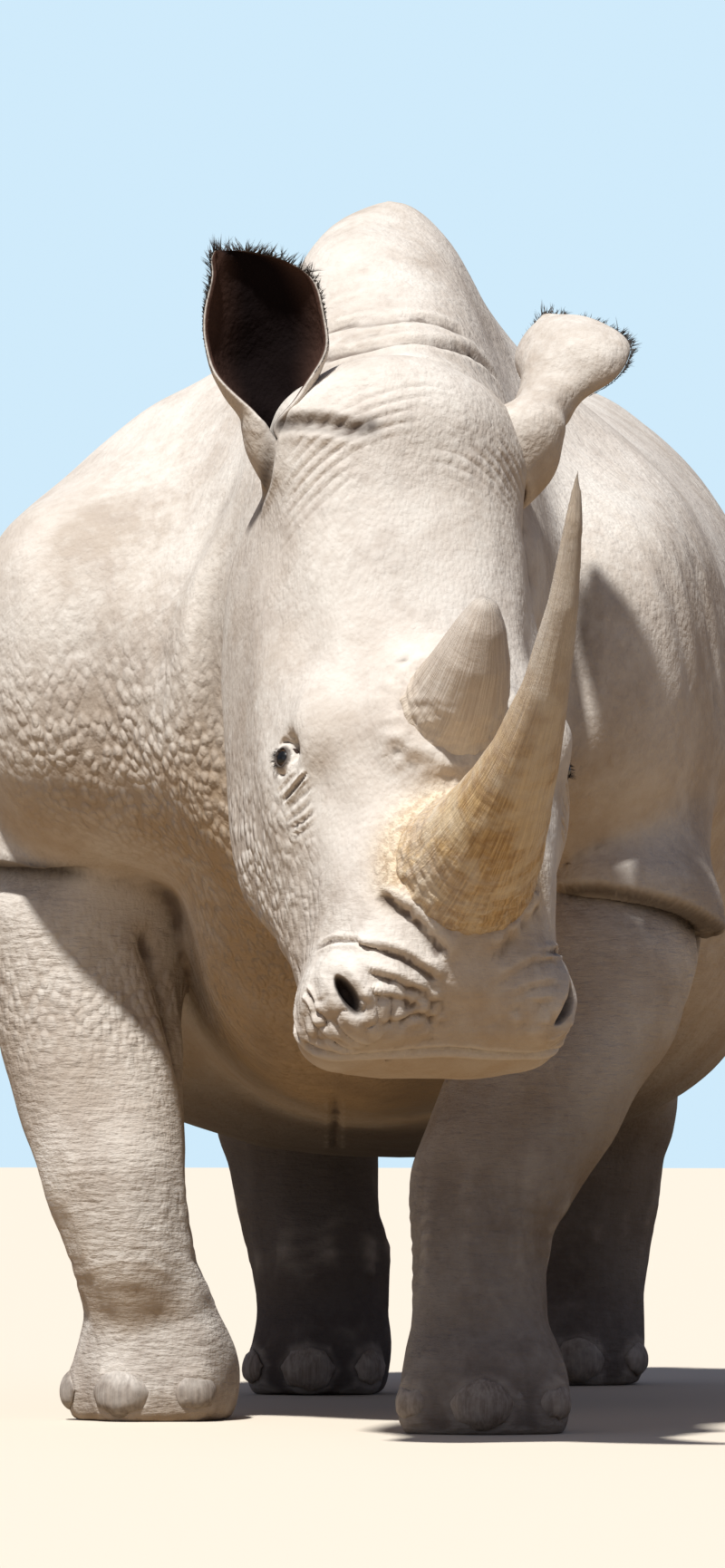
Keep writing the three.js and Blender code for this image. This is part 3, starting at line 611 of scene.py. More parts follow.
# %% Lids
BALL = 0.0205  # radius of the eyeball
LID = 0.0022  # thickness of the lid
SLIT = (0.0128, 0.0110)  # half length and half height of the opening
EYE_ON_SKIN = (0.503, 0.200, 0.014)
eye_frames = {}  # the middle of each eyeball, and the ways along the slit, across it and out
for side, sign in SIDES:
    out = unit(head_axes.T @ np.array((0.05, 0.84 * sign, 0.54)))
    along = unit(head_axes[0] - out * (head_axes[0] @ out))
    along = along + 0.35 * np.cross(out, along) * sign
    along = unit(along - out * (along @ out))
    across = np.cross(out, along)
    on_skin = np.array(clay.surface.find_nearest(Vector(from_head(np.array(EYE_ON_SKIN) * (1, sign, 1))))[0])
    ball = on_skin - out * (BALL * 0.72)
    eye_frames[side] = (ball, along, across, out)
    local = on_axes(clay.points, *eye_frames[side])
    x, y, height = local.T
    near = (np.hypot(x, y) < 0.06) & (height > -0.04) & (clay.normals @ out > -0.2)
    half_height = SLIT[1] * (1 - 0.35 * np.clip(np.abs(x) / SLIT[0], 0, 1) ** 2)
    q = np.sqrt((x / SLIT[0]) ** 2 + (y / half_height) ** 2)  # 1 on the edge of the opening
    dome = np.sqrt(np.maximum((BALL + LID) ** 2 - x**2 - y**2, 0.0)) + 0.0008
    lid = height + (dome - height) * (1 - rise(q, 1.15, 2.4))
    moved = np.where(q < 1, -0.004, lid)
    clay.points[near] = (ball + local[:, :1] * along + local[:, 1:2] * across + moved[:, None] * out)[near]
    print("eye", side, "ball at", ball.round(3), "head", to_head(ball).round(3))
clay.take(clay.points)

# %% [markdown]
# Rings of small creases follow the lids, and a sheaf of short wrinkles runs down from the front corner
# of each eye, where the thick skin folds when the animal blinks.

# %% Creases round the eye
LID_RINGS = [
    # size over the opening, from and to which angle, depth
    (1.55, 15, 165, 0.0018),
    (2.1, 20, 160, 0.0016),
    (1.6, 200, 340, 0.0016),
    (2.2, 200, 345, 0.0018),
]
EYE_WRINKLES = [
    # a line and its depth
    ([(0.545, -0.208, -0.016), (0.541, -0.198, 0.020), (0.538, -0.190, 0.040)], 0.0014),
    ([(0.560, -0.206, -0.006), (0.556, -0.196, 0.024), (0.547, -0.185, 0.056)], 0.0044),
    ([(0.574, -0.202, 0.000), (0.571, -0.190, 0.030), (0.566, -0.178, 0.054)], 0.0016),
    ([(0.586, -0.205, -0.018), (0.588, -0.192, 0.016), (0.582, -0.181, 0.044)], 0.0022),
    ([(0.600, -0.200, -0.008), (0.602, -0.188, 0.020), (0.597, -0.177, 0.042)], 0.0044),
    ([(0.606, -0.203, -0.026), (0.614, -0.190, 0.006), (0.612, -0.176, 0.034)], 0.0018),
    ([(0.624, -0.188, 0.002), (0.630, -0.176, 0.030)], 0.0012),
]
for side, sign in SIDES:
    ball, along, across, out = eye_frames[side]
    for size, start, end, depth in LID_RINGS:
        ring = []
        for angle in np.radians(np.linspace(start, end, 9)):
            foot = ball + along * math.cos(angle) * SLIT[0] * size
            ring.append(foot + across * math.sin(angle) * SLIT[1] * size * sign + out * BALL)
        clay.crease(ring, 0.0018, depth, 0.25)
for corners, depth in EYE_WRINKLES:
    for line in both_sides(corners):
        clay.crease(line, 0.0030, depth, 0.8)
clay.settle()

# %% [markdown]
# A nostril is a long slit in the side of the muzzle with a swollen rim. It is pushed in along the way
# that the skin faces there, so that its inside is real and dark.

# %% Nostrils
NOSTRIL_SIZE = (0.030, 0.0115)  # half length and half width
NOSTRIL_DEPTH, NOSTRIL_RIM = 0.034, 0.006
NOSTRIL_RUN = (0.046, -0.031, -0.020)  # the way the slit runs, on the right side of the head
nostril_frames = []  # the middle of each nostril, and the ways along it, across it and out
for _, sign in SIDES:
    at = from_head((NOSTRIL[0], NOSTRIL[1] * sign, NOSTRIL[2]))
    run = from_head(np.array(NOSTRIL_RUN) * (1, sign, 1)) - head_root
    at, out = (np.array(v) for v in clay.surface.find_nearest(Vector(at))[:2])
    run = unit(run - out * (run @ out))
    nostril_frames.append((at, run, np.cross(out, run), out))
    x, y, height = on_axes(clay.points, *nostril_frames[-1]).T
    near = (np.hypot(x, y) < 0.07) & (np.abs(height) < 0.05) & (clay.normals @ out > 0)
    q = np.sqrt((x / NOSTRIL_SIZE[0]) ** 2 + (y / NOSTRIL_SIZE[1]) ** 2)
    push = -NOSTRIL_DEPTH * (1 - rise(q, 0.45, 1.15)) + NOSTRIL_RIM * bell((q - 1.9) / 0.75)
    clay.points[near] += (push[:, None] * out)[near]
clay.take(clay.points)
print("head modelled at", round(time.time() - started, 1), "s")

# %% [markdown]
# ## The folds of the body
# The hide of the body is loose. It hangs over each upper arm like a sleeve, gathers between the ears
# and the hump, creases down the neck behind the jaw, and wraps the thigh behind a fold at the flank.
# The sleeves are cut finer first, because their edge is the sharpest line on the body, and are laid as
# folds that lap over the arm. A softer hollow lies between each arm and the breast.

# %% Sleeves over the forearms
SLEEVES = {
    "right": [(-0.575, 0.060, 0.780), (-0.580, -0.120, 0.810), (-0.560, -0.250, 0.826),
              (-0.505, -0.335, 0.823), (-0.420, -0.385, 0.815), (-0.350, -0.393, 0.804)],
    "left": [(0.560, -0.330, 0.700), (0.535, -0.440, 0.728), (0.500, -0.515, 0.752),
             (0.440, -0.562, 0.772), (0.374, -0.566, 0.781), (0.300, -0.560, 0.776)],
}
SLEEVE_FOLD = dict(
    outward=(0, 0, 1), stand=0.022, spread=0.060, drop=0.026, spread_below=0.050, edge=0.009, lap=0.016
)
BELLY_SEAM = [(-0.014, -0.340, 0.486), (-0.038, -0.121, 0.439), (-0.089, 0.353, 0.388)]
INNER_ARM = {
    "right": [(-0.300, -0.350, 0.735), (-0.276, -0.315, 0.644), (-0.262, -0.300, 0.560),
              (-0.258, -0.290, 0.480)],
    "left": [(0.545, -0.400, 0.720), (0.535, -0.425, 0.640), (0.510, -0.450, 0.580)],
}


def close_to_lines(lines, reach):
    """A test for points within reach of any of these lines."""
    return close_to(np.vstack([line_through(line, 0.03) for line in lines]), reach)


split_faces(skin, close_to_lines(SLEEVES.values(), 0.07))
split_faces(skin, close_to_lines(SLEEVES.values(), 0.022))
split_faces(skin, close_to_lines([BELLY_SEAM], 0.02))
clay = Clay(skin)
for corners in SLEEVES.values():
    clay.fold(corners, **SLEEVE_FOLD)
clay.settle(2)
for corners in INNER_ARM.values():
    clay.crease(corners, 0.018, 0.014, 0.3)
clay.settle()

# %% [markdown]
# The great folds of neck, flank and arm are broad and soft, so they fade over nearly half their length
# at each end. The hump behind the nape is raised with them.

# %% Hump, neck, flank and arm
HUMP = dict(at=(-0.020, -0.500, 1.660), reach=(0.060, 0.220, 0.110), height=0.024)
EAR_FOLDS = [
    [(-0.012, -1.135, 1.397), (0.024, -1.161, 1.400), (0.063, -1.180, 1.398), (0.096, -1.185, 1.390),
     (0.125, -1.184, 1.393)],
    [(-0.012, -1.135, 1.397), (-0.021, -1.127, 1.337), (-0.050, -1.060, 1.290)],
]
FOLDS = [
    # corners, way it faces, stand, spread, drop, spread below
    ([(-0.150, -0.690, 1.330), (-0.160, -0.700, 1.180), (-0.165, -0.720, 1.020), (-0.150, -0.700, 0.880)],
     (-1, 0.2, 0), 0.014, 0.09, 0.010, 0.06),  # right side of the neck
    ([(0.360, -0.600, 1.330), (0.385, -0.640, 1.180), (0.380, -0.660, 1.020), (0.350, -0.650, 0.880)],
     (1, 0.2, 0), 0.014, 0.08, 0.010, 0.05),  # left side of the neck
    ([(-0.585, 0.960, 1.050), (-0.560, 0.930, 0.850), (-0.500, 0.900, 0.680), (-0.420, 0.880, 0.560)],
     (0, -1, -0.3), 0.014, 0.07, 0.012, 0.05),  # right flank
    ([(0.590, 1.080, 1.050), (0.565, 1.040, 0.850), (0.500, 1.000, 0.680), (0.430, 0.960, 0.560)],
     (0, -1, -0.3), 0.014, 0.07, 0.012, 0.05),  # left flank
    ([(-0.560, 0.060, 1.250), (-0.590, 0.100, 1.000), (-0.585, 0.110, 0.780), (-0.520, 0.060, 0.560)],
     (0, -1, 0), 0.010, 0.07, 0.008, 0.05),  # behind the right arm
    ([(0.560, 0.020, 1.250), (0.590, 0.060, 1.000), (0.585, 0.080, 0.780), (0.520, 0.040, 0.560)],
     (0, -1, 0), 0.010, 0.07, 0.008, 0.05),  # behind the left arm
]
clay.swell(**HUMP, frame_axes=True)
for corners in EAR_FOLDS:
    clay.crease(corners, 0.010, 0.016, 0.3)
for corners, *form in FOLDS:
    clay.fold(corners, *form, ends=0.45)
clay.settle(4)

# %% [markdown]
# Creases are narrower. Across the nape they are sharp, and on the barrel of the trunk they are wide and
# shallow, because a fine dark line there would look like a cut.

# %% Creases of nape, shoulder, thigh and rump
CREASES = [
    # corners, width, depth
    ([(-0.060, -0.700, 1.520), (0.068, -0.747, 1.531), (0.160, -0.730, 1.535), (0.235, -0.640, 1.525),
      (0.270, -0.560, 1.480)], 0.011, 0.012),
    ([(-0.050, -0.650, 1.560), (0.070, -0.690, 1.572), (0.170, -0.660, 1.570), (0.230, -0.590, 1.545)],
     0.010, 0.007),
    ([(0.000, -0.780, 1.500), (0.090, -0.810, 1.505), (0.170, -0.800, 1.505), (0.230, -0.750, 1.480)],
     0.009, 0.007),
    ([(-0.160, -0.640, 1.420), (-0.190, -0.650, 1.300), (-0.220, -0.660, 1.150), (-0.230, -0.650, 1.000)],
     0.030, 0.008),
    (BELLY_SEAM, 0.007, 0.005),
    ([(0.470, -0.560, 1.260), (0.510, -0.545, 1.150), (0.530, -0.510, 1.020)], 0.020, 0.007),
    ([(0.520, -0.420, 1.280), (0.555, -0.400, 1.150), (0.570, -0.380, 1.000)], 0.022, 0.008),
    ([(-0.590, 1.250, 0.760), (-0.540, 1.150, 0.640), (-0.450, 1.000, 0.560)], 0.030, 0.010),
    ([(0.560, 1.480, 0.760), (0.530, 1.350, 0.640), (0.440, 1.200, 0.560)], 0.030, 0.010),
    ([(-0.450, 1.600, 1.050), (-0.420, 1.640, 0.900), (-0.360, 1.600, 0.740)], 0.040, 0.010),
    ([(0.450, 1.600, 1.050), (0.420, 1.650, 0.900), (0.360, 1.640, 0.740)], 0.040, 0.010),
    ([(-0.100, 1.640, 1.430), (-0.080, 1.680, 1.300), (-0.060, 1.690, 1.150), (-0.040, 1.680, 0.950)],
     0.030, 0.012),
    ([(0.120, 1.640, 1.430), (0.100, 1.680, 1.300), (0.085, 1.690, 1.150), (0.060, 1.680, 0.950)],
     0.030, 0.012),
]
for corners, width, depth in CREASES:
    clay.crease(corners, width, depth)
clay.settle()

# %% [markdown]
# Wrinkles run in families, so they are drawn as fields. A phase counts them across the skin, soft noise
# bends it, and each whole number of the phase is a narrow groove. A second noise lets lines die out and
# start again. The brow has arches between the ears, and the legs have rings at the wrists and hocks.


# %% Families of wrinkles
def wrinkles(phase, depth, share, sharp=0.22):
    """Grooves wherever the phase is a whole number, where share is above 0."""
    gap = np.abs((phase + 0.5) % 1 - 0.5)
    clay.shift -= depth * share * (bell(gap / sharp) - 0.35)


points = clay.points
u, v, w = clay.head.T
x, y, z = points.T
broken = rise(noise(points, 0.07, 3), -0.45, 0.25)

arch = u - 2.2 * v * v
brow = hill(arch, 0.060, 0.115) * rise(w, 0.0, 0.06) * (y < -0.9) * rise(0.27 - np.abs(v), 0, 0.05)
wrinkles(arch / 0.0175 + 1.0 * noise(points, 0.13), 0.0026, brow * (0.15 + 0.85 * broken), 0.20)

WRISTS = {"forefoot": (0.26, 0.0022), "hindfoot": (0.24, 0.0010)}  # height of the joint, depth of its rings
for name in nodes:
    if name.startswith(tuple(WRISTS)):
        joint, depth = WRISTS[name.split("_")[0]]
        foot = middle(name)
        on_shank = rise(0.24 - np.hypot(x - foot[0], y - foot[1]), 0, 0.05)
        wrinkles(z / 0.026 + 1.1 * noise(points, 0.11, 5), depth, on_shank * hill(z, joint, 0.13) * broken)

nape = hill(y, -0.66, 0.22) * rise(z, 1.25, 1.42) * (np.abs(x - 0.1) < 0.3)
wrinkles((y + 0.4 * z) / 0.030 + 1.0 * noise(points, 0.12, 9), 0.0026, nape * broken)

# %% The last of the clay
FOREFOOT_PAD = dict(at=(-0.205, -0.36, 0.155), reach=(0.05, 0.10, 0.075), height=0.016)
LOWEST = 0.0003  # the skin stays this far over the floor
clay.swell(**FOREFOOT_PAD, frame_axes=True)
clay.shift += 0.0035 * noise(points, 0.16, 21) + 0.0020 * noise(points, 0.075, 33)
clay.settle()
clay.points[:, 2] = np.maximum(clay.points[:, 2], LOWEST)
place_points(skin, clay.points)
print("folded at", round(time.time() - started, 1), "s")

# %% [markdown]
# A skin of even fine net would be far too heavy. Decimation folds up edges where the surface is nearly
# flat and leaves them where it is creased, so the points end up where the folds are.

# %% Thin the net
SKIN_FACES = 146000
thin = SKIN_FACES / (2 * len(skin.data.polygons))
modify(skin, "DECIMATE", ratio=min(thin, 1.0), use_collapse_triangulate=True)
print("thinned to", len(skin.data.polygons), "faces at", round(time.time() - started, 1), "s")

# %% [markdown]
# ## Ears
# Each ear is a trumpet: a rolled tube of skin at its root that opens into a tall scoop with a rim, dark
# inside. It is lofted from cross-sections, each an arc that is nearly closed at the root and half open
# at the top, with an outer and an inner wall. Its root runs on into the head.

# %% The form of an ear
EAR = np.array([
    # up the ear, lean of the middle, half width, depth, half opening (degrees), wall
    (-0.110, 0.000, 0.056, 0.050, 180, 0.016),
    (-0.040, 0.000, 0.050, 0.046, 180, 0.015),
    (0.000, 0.000, 0.044, 0.040, 178, 0.013),
    (0.020, -0.002, 0.048, 0.043, 158, 0.012),
    (0.045, -0.006, 0.061, 0.050, 134, 0.010),
    (0.081, -0.011, 0.078, 0.056, 112, 0.008),
    (0.118, -0.008, 0.087, 0.054, 101, 0.007),
    (0.162, -0.010, 0.083, 0.046, 94, 0.007),
    (0.200, -0.016, 0.073, 0.034, 90, 0.006),
    (0.222, -0.026, 0.060, 0.024, 88, 0.005),
    (0.235, -0.040, 0.044, 0.016, 88, 0.004),
    (0.243, -0.062, 0.022, 0.008, 88, 0.003),
])
EAR_PLACES = {
    # root and opening of each ear, the way it stands, the way its root runs in and the way it faces,
    # the side its point leans to, its height and breadth, and its spread, waist and stem
    "right": dict(root=(-0.020, -1.095, 1.398), up=(0.02, -0.12, 1.0), heel=(0.50, 0.25, -0.80),
                  facing=(0.06, -1.0, 0.0), lean=1, tall=1.0, broad=1.0, flare=0.0, waist=0.0, stem=1.15),
    "left": dict(root=(0.332, -0.985, 1.418), up=(0.42, 0.62, 0.74), heel=(-0.75, 0.0, -0.65),
                 facing=(0.50, 1.0, -0.5), lean=-1, tall=0.83, broad=0.95, flare=0.24, waist=0.30, stem=1.55),
}
EAR_ROWS, EAR_COLUMNS = 46, 30
FRINGE_FROM = 0.07  # how far up the ear its fringe of hair begins


def ear_section(place, stop):
    """The numbers of one cross-section, at a stop between the rows of the ear's table."""
    last = len(EAR) - 1
    k = min(int(stop), last - 1)
    row = smooth_between(EAR[max(k - 1, 0)], EAR[k], EAR[k + 1], EAR[min(k + 2, last)], stop - k)
    h, lean, half, depth, opening, wall = row
    spread = 1 + place["flare"] * np.clip((h - 0.09) / 0.1, 0, 1)
    spread *= 1 - place["waist"] * math.exp(-(((h - 0.070) / 0.050) ** 2))
    spread *= 1 + (place["stem"] - 1) * (1 - np.clip((h + 0.05) / 0.07, 0, 1))
    return h, lean, spread, half, depth, math.radians(min(opening, 179.5)), wall


def ear_faces():
    """The faces of the sheet: rings of squares, closed at the root and at the point."""
    ring = 2 * EAR_COLUMNS
    faces = [
        (r * ring + c, r * ring + (c + 1) % ring, (r + 1) * ring + (c + 1) % ring, (r + 1) * ring + c)
        for r in range(EAR_ROWS - 1) for c in range(ring)
    ]
    for r in (0, EAR_ROWS - 1):
        first, final = r * ring, (r + 1) * ring - 1
        faces += [(first + c, first + c + 1, final - c - 1, final - c) for c in range(EAR_COLUMNS - 1)]
    return faces


def make_ear(side):
    """An ear, lofted as one closed sheet with thickness, with its rim and the ways out of it."""
    place = EAR_PLACES[side]
    root, up, heel = np.array(place["root"]), unit(place["up"]), unit(place["heel"])
    facing = np.array(place["facing"], float)
    facing = unit(facing - up * (facing @ up))
    width = np.cross(up, facing) * place["lean"]
    stops = np.interp(np.linspace(0, 1, EAR_ROWS), np.linspace(0, 1, len(EAR)), np.arange(len(EAR)))
    places, inner, axis = [], [], []
    for stop in stops:
        h, lean, spread, half, depth, reach, wall = ear_section(place, stop)
        axis.append(root + width * lean * place["broad"] + up * max(h, 0) * place["tall"])
        half, depth, lean = half * spread, depth * spread, lean * spread
        climb = up * h * place["tall"] if h > 0 else heel * -h
        angles = np.linspace(-reach, reach, EAR_COLUMNS)
        for wall_now, run in ((0.0, angles), (wall, angles[::-1])):
            from_rim = reach - np.abs(run)
            thick = wall_now * np.where(np.abs(from_rim) < 1e-9, 0.45, 1.0)
            if wall_now > 0:
                thick = thick * (1 + 0.5 * bell(from_rim / 0.16))
            wave = 0.0025 * math.sin(stop * 2.1) * np.sin(run * 3)
            across = lean + (half - thick + wave) * np.sin(run)
            back = -(depth - thick + wave) * np.cos(run) + depth * 0.25
            inner += list((1 - 0.5 * np.abs(run) / reach) * (wall_now > 0))
            for c, d in zip(across, back):
                places.append(root + (width * c + facing * d) * place["broad"] + climb)

    mesh = bpy.data.meshes.new("ear_" + side)
    mesh.from_pydata([tuple(p) for p in places], [], ear_faces())
    mesh.update()
    ear = link("ear_skin_" + side, mesh)
    store(ear, "ear_inside", inner)
    edit(ear, bpy.ops.mesh.normals_make_consistent, inside=False)
    modify(ear, "SUBSURF", levels=1, render_levels=1)

    grid = np.array(places).reshape(EAR_ROWS, 2 * EAR_COLUMNS, 3)
    first = int(np.argmax([p @ up for p in axis] > root @ up + FRINGE_FROM))
    last = EAR_COLUMNS - 1
    rim = np.vstack([grid[first:, 0], grid[-1, 1:last], grid[first:, last][::-1]])
    ways = rim - np.vstack([axis[first:], [axis[-8]] * (last - 1), axis[first:][::-1]])
    print(ear.name, len(ear.data.polygons), "faces, rim of", len(rim), "points")
    return ear, rim, ways


ears, rims, rim_ways = {}, {}, {}
for side, _ in SIDES:
    ears[side], rims[side], rim_ways[side] = make_ear(side)
skin.data.attributes.new("ear_inside", "FLOAT", "POINT")
choose(skin, *ears.values())
bpy.ops.object.join()

# %% [markdown]
# ## Marks for the hide's colours
# On the animal, soil gathers in the hollows and painted shade darkens them further, the raised skin is worn
# pale, and some places have a look of their own: net-like cracks on neck and chest, dark margins of lids
# and nostrils, grime and painted shade under the chin and breast, painted warm shade on the chest and
# undersides, mud and painted shade on the legs, and painted shade under the sleeves, beside the left arm
# and beside the right ear. Each is stored as a value at every point of the skin, so that the material
# can read it. Painting them by hand would do the same, but values worked out from places and heights
# repeat exactly.

# %% Where the skin is hollow
relaxer = Relaxer(skin)
points = points_of(skin)
normals = normals_of(skin)
dip = ((relaxer.soften(points, 0.5, 5) - points) * normals).sum(1)
ends = edges_of(skin)
lengths = np.linalg.norm(points[ends[:, 0]] - points[ends[:, 1]], axis=1)
near_length = np.bincount(ends.ravel(), np.repeat(lengths, 2), len(points)) / relaxer.degree
hollow = np.clip(dip / (0.0016 * np.clip(near_length / 0.0055, 1, 4)), -1, 1)
hollow = relaxer.soften(hollow[:, None], 0.5, 1)[:, 0]
store(skin, "hollow", hollow)
print("hollow from", hollow.min().round(2), "to", hollow.max().round(2))

# %% Places with a look of their own
x, y, z = points.T
u, v, w = to_head(points).T


def mark(name, values):
    """Stores a share from 0 to 1 for each point of the skin."""
    store(skin, name, np.clip(values, 0, 1))
    print("marked", name, "on", round(100 * float(np.mean(values > 0.1))), "% of the points")


neck_side = hill(z, 0.86, 0.34) * hill(y, -0.62, 0.22) * (u < 0.9)
neck_side *= rise(0.12 - x, 0, 0.16) * rise(-x, -0.12, 0.08)
elbows = hill(z, 0.60, 0.16) * hill(y, -0.30, 0.25)
breast = hill(x, -0.08, 0.20) * hill(z, 0.72, 0.26) * (y < -0.3)
wrists = hill(z, 0.30, 0.10) * (y < -0.2)
mark("pebbly", 1.1 * neck_side + 0.6 * elbows + breast + 0.2 * wrists)
mark("limb", rise(-z, -0.85, -0.70))
mark("face", rise(u, 0.10, 0.22) * (y < -0.95) * (z > 0.45))

# %% Dark margins, painted shade under the sleeves, beside the left arm and the right ear, and the dark end of the tail
dark_and_painted_shade = np.zeros(len(points))
for frames, size, edge, soft, reach in (
    (eye_frames.values(), SLIT, 1.5, 0.45, 0.05),
    (nostril_frames, NOSTRIL_SIZE, 1.25, 0.5, 0.05),
):
    for one in frames:
        local = on_axes(points, *one)
        q = np.hypot(local[:, 0] / size[0], local[:, 1] / size[1])
        dark_and_painted_shade = np.maximum(dark_and_painted_shade, rise(edge - q, 0, soft) * (np.abs(local[:, 2]) < reach))
# Painted shade under the lip of each sleeve, where it overhangs the arm.
for corners in SLEEVES.values():
    near, far, along, foot = beside(points, line_through(corners, 0.01), 0.055)
    fade = rise(along, 0.0, 0.15) * rise(1 - along, 0.0, 0.12)
    over = points[near, 2] - foot[:, 2]
    dark_and_painted_shade[near] = np.maximum(dark_and_painted_shade[near], 0.85 * fade * bell((over + 0.014) / 0.012))
# Painted shade along the hollow beside the left arm, and the painted shadow that the right ear casts on the
# brow, laid along its folds.
for corners, reach, share in [(INNER_ARM["left"], 0.016, 0.45)] + [(fold, 0.013, 0.95) for fold in EAR_FOLDS]:
    near, far, along, foot = beside(points, line_through(corners, 0.01), 4 * reach)
    dark_and_painted_shade[near] = np.maximum(dark_and_painted_shade[near], share * bell(far / reach))
tail_low, tail_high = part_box("tail")
tufted = rise(y, tail_high[1] - 0.12, tail_high[1] - 0.10) * rise(z, 0.5, 0.55)
tufted *= rise(-z, -tail_low[2] - 0.22, -tail_low[2] - 0.16)
mark("dark_and_painted_shade", 0.92 * np.maximum(dark_and_painted_shade, tufted))

# %% Mud and grime with painted shade, and painted warm shade
under = rise(-normals[:, 2], -0.1, 0.7)
# Mud and painted shade: the hind legs under the body and the left foreleg in the head's shadow are darkened
# nearly to black.
hind_legs = rise(y, -0.1, 0.1) * rise(0.62 - z, 0, 0.25) * np.where(y > 1.2, 0.82, 1.0)
left_foreleg = rise(x, 0, 0.1) * rise(0.75 - z, 0, 0.45) * (y < -0.1) * (y > -1.0) * (w < -0.3)
mark("mud_and_painted_shade", 0.88 * hind_legs + 0.55 * left_foreleg)
# Grime and painted shade: the breast between the arms, a band down the neck behind the jaw and the low
# undersides are darkened where shade falls on them.
brisket = hill(x, -0.02, 0.42) * rise(-y, 0.05, 0.3) * rise(1.0 - z, 0.12, 0.35) * (y > -0.95)
brisket *= rise(0.9 - np.abs(normals[:, 0]), 0, 0.4) * rise(under + 0.55, 0.3, 0.9)
jaw_side = bell((x + 0.145) / 0.035) * hill(y, -0.70, 0.14) * hill(z, 1.0, 0.42)
mark("grime_and_painted_shade", 0.80 * brisket + 0.5 * jaw_side + 0.25 * under * rise(0.7 - z, 0, 0.2))
# Painted warm shade: the chest and all undersides take the brown of shade lit by light thrown up from the
# ground.
chest = hill(x, 0.05, 0.42) * rise(-y, 0.15, 0.35) * (y > -0.95)
chest *= rise(1.10 - z, 0, 0.35) * rise(z, 0.30, 0.50)
mark("painted_warm_shade", chest + 0.6 * under)

# %% Horny crumbs round the foot of the front horn
gap = np.full(len(points), 1.0)
near = np.flatnonzero((y < -1.1) & (u > 0.5) & (w > -0.05))
horn_tree = tree_of(nodes["horn_front"])
gap[near] = [horn_tree.find_nearest(Vector(p))[3] for p in points[near]]
mark("horny", bell(gap / 0.030) * rise(0.80 - u, 0, 0.05))
print("skin:", len(skin.data.polygons), "faces")

# %% [markdown]
# ## Eyeballs
# An eyeball is a sphere whose clear front bulges. It starts as a primitive ball, and its front is drawn
# out a little along the way the eye looks. The iris and pupil are drawn by the material.


# %% Eyeballs
def make_eyeball(side):
    """An eyeball with a bulging front, set behind its lids."""
    ball, *axes = eye_frames[side]
    bpy.ops.object.select_all(action="DESELECT")
    bpy.ops.mesh.primitive_uv_sphere_add(segments=48, ring_count=24, radius=BALL, location=(0, 0, 0))
    piece = bpy.context.object
    piece.name = piece.data.name = "eyeball_" + side
    points = points_of(piece)
    bulge = bell(np.hypot(points[:, 0], points[:, 1]) / (BALL * 0.55)) * (points[:, 2] > 0)
    points[:, 2] += 0.0016 * bulge
    store(piece, "front", points[:, 2] / BALL - 0.02 * bulge)
    place_points(piece, ball + points @ np.array(axes))
    hand_over(piece, "eye", "eye_" + side)
    print(piece.name, len(piece.data.polygons), "faces")
    return piece


eyeballs = [make_eyeball(side) for side, _ in SIDES]

# %% [markdown]
# ## Horns
# A horn is a mass of hard fibres grown from the skin. It keeps its place and outline from the frame, is
# wrapped in a fine net, and gets the marks of growth: rough rings and loose fibres round its foot, fine
# furrows along its length, and a worn smooth point. The net carries the direction of the grain as an
# attribute, round and along the horn, so that the material's fibres follow its curve.

# %% Horns
HORN_CURVES = {
    # root, bend and tip on the head's axes, and the size of the net
    "front": ((0.720, 0, 0.078), (0.785, 0, 0.541), (0.475, 0, 0.752), 0.0035),
    "rear": ((0.498, 0, 0.104), (0.510, 0, 0.240), (0.432, 0, 0.345), 0.003),
}


def along_horn(points, root, bend, tip):
    """For each point how far along the horn it is, its angle round it, and the horn's length."""
    t = np.linspace(0, 1, 240)[:, None]
    curve = root * (1 - t) ** 2 + 2 * bend * t * (1 - t) + tip * t**2
    run = np.concatenate([[0], np.cumsum(np.linalg.norm(np.diff(curve, axis=0), axis=1))])
    nearest = np.concatenate([
        np.linalg.norm(part[:, None] - curve[None], axis=2).argmin(1) for part in np.array_split(points, 20)
    ])
    tangent = np.gradient(curve, axis=0)
    tangent /= np.linalg.norm(tangent, axis=1)[:, None]
    offset = points - curve[nearest]
    along = run[nearest] + (offset * tangent[nearest]).sum(1)
    side = np.tile(head_axes[1], (len(points), 1))
    front = np.cross(tangent[nearest], side)
    return along, np.arctan2((offset * side).sum(1), (offset * front).sum(1)), run[-1]


def make_horn(which):
    """A grown horn over the frame's own, with rings, lumps and furrows."""
    *corners, net = HORN_CURVES[which]
    piece = copy_of(["horn_" + which], "horn_grown_" + which)
    modify(piece, "REMESH", mode="VOXEL", voxel_size=net)
    points = Relaxer(piece).smooth(points_of(piece), 0.5, 30)
    place_points(piece, points)
    along, angle, length = along_horn(points, *(from_head([corner])[0] for corner in corners))
    share = along / length
    around = (np.cos(angle), np.sin(angle))
    foot = rise(1 - share, 0.55, 0.85)
    ring = bell((((along + 0.009 * noise(points, 0.05)) / 0.017) % 1 - 0.5) / 0.2)
    lumps = noise(np.column_stack([*around, along * 14]), 0.35)
    furrows = noise(np.column_stack([*around, along * 2.5]), 0.16)
    push = -0.0020 * foot * ring * rise(noise(points, 0.035, 6), -0.6, 0.4)
    push = push + 0.0018 * foot * lumps + 0.0008 * furrows * rise(1 - share, 0, 0.4)
    push += 0.0032 * rise(0.15 - along, 0, 0.10) * noise(points, 0.010, 4)
    place_points(piece, points + normals_of(piece) * push[:, None])
    grain = piece.data.attributes.new("grain", "FLOAT_VECTOR", "POINT")
    grain.data.foreach_set("vector", np.column_stack([*around, along * 10]).astype(np.float32).ravel())
    store(piece, "share", share)
    store(piece, "weathered", np.full(len(points), float(which == "rear")))
    hand_over(piece, "horn", "horn_" + which)
    print(piece.name, len(piece.data.polygons), "faces, length", round(float(length), 2))
    return piece


horns = [make_horn(which) for which in HORN_CURVES]

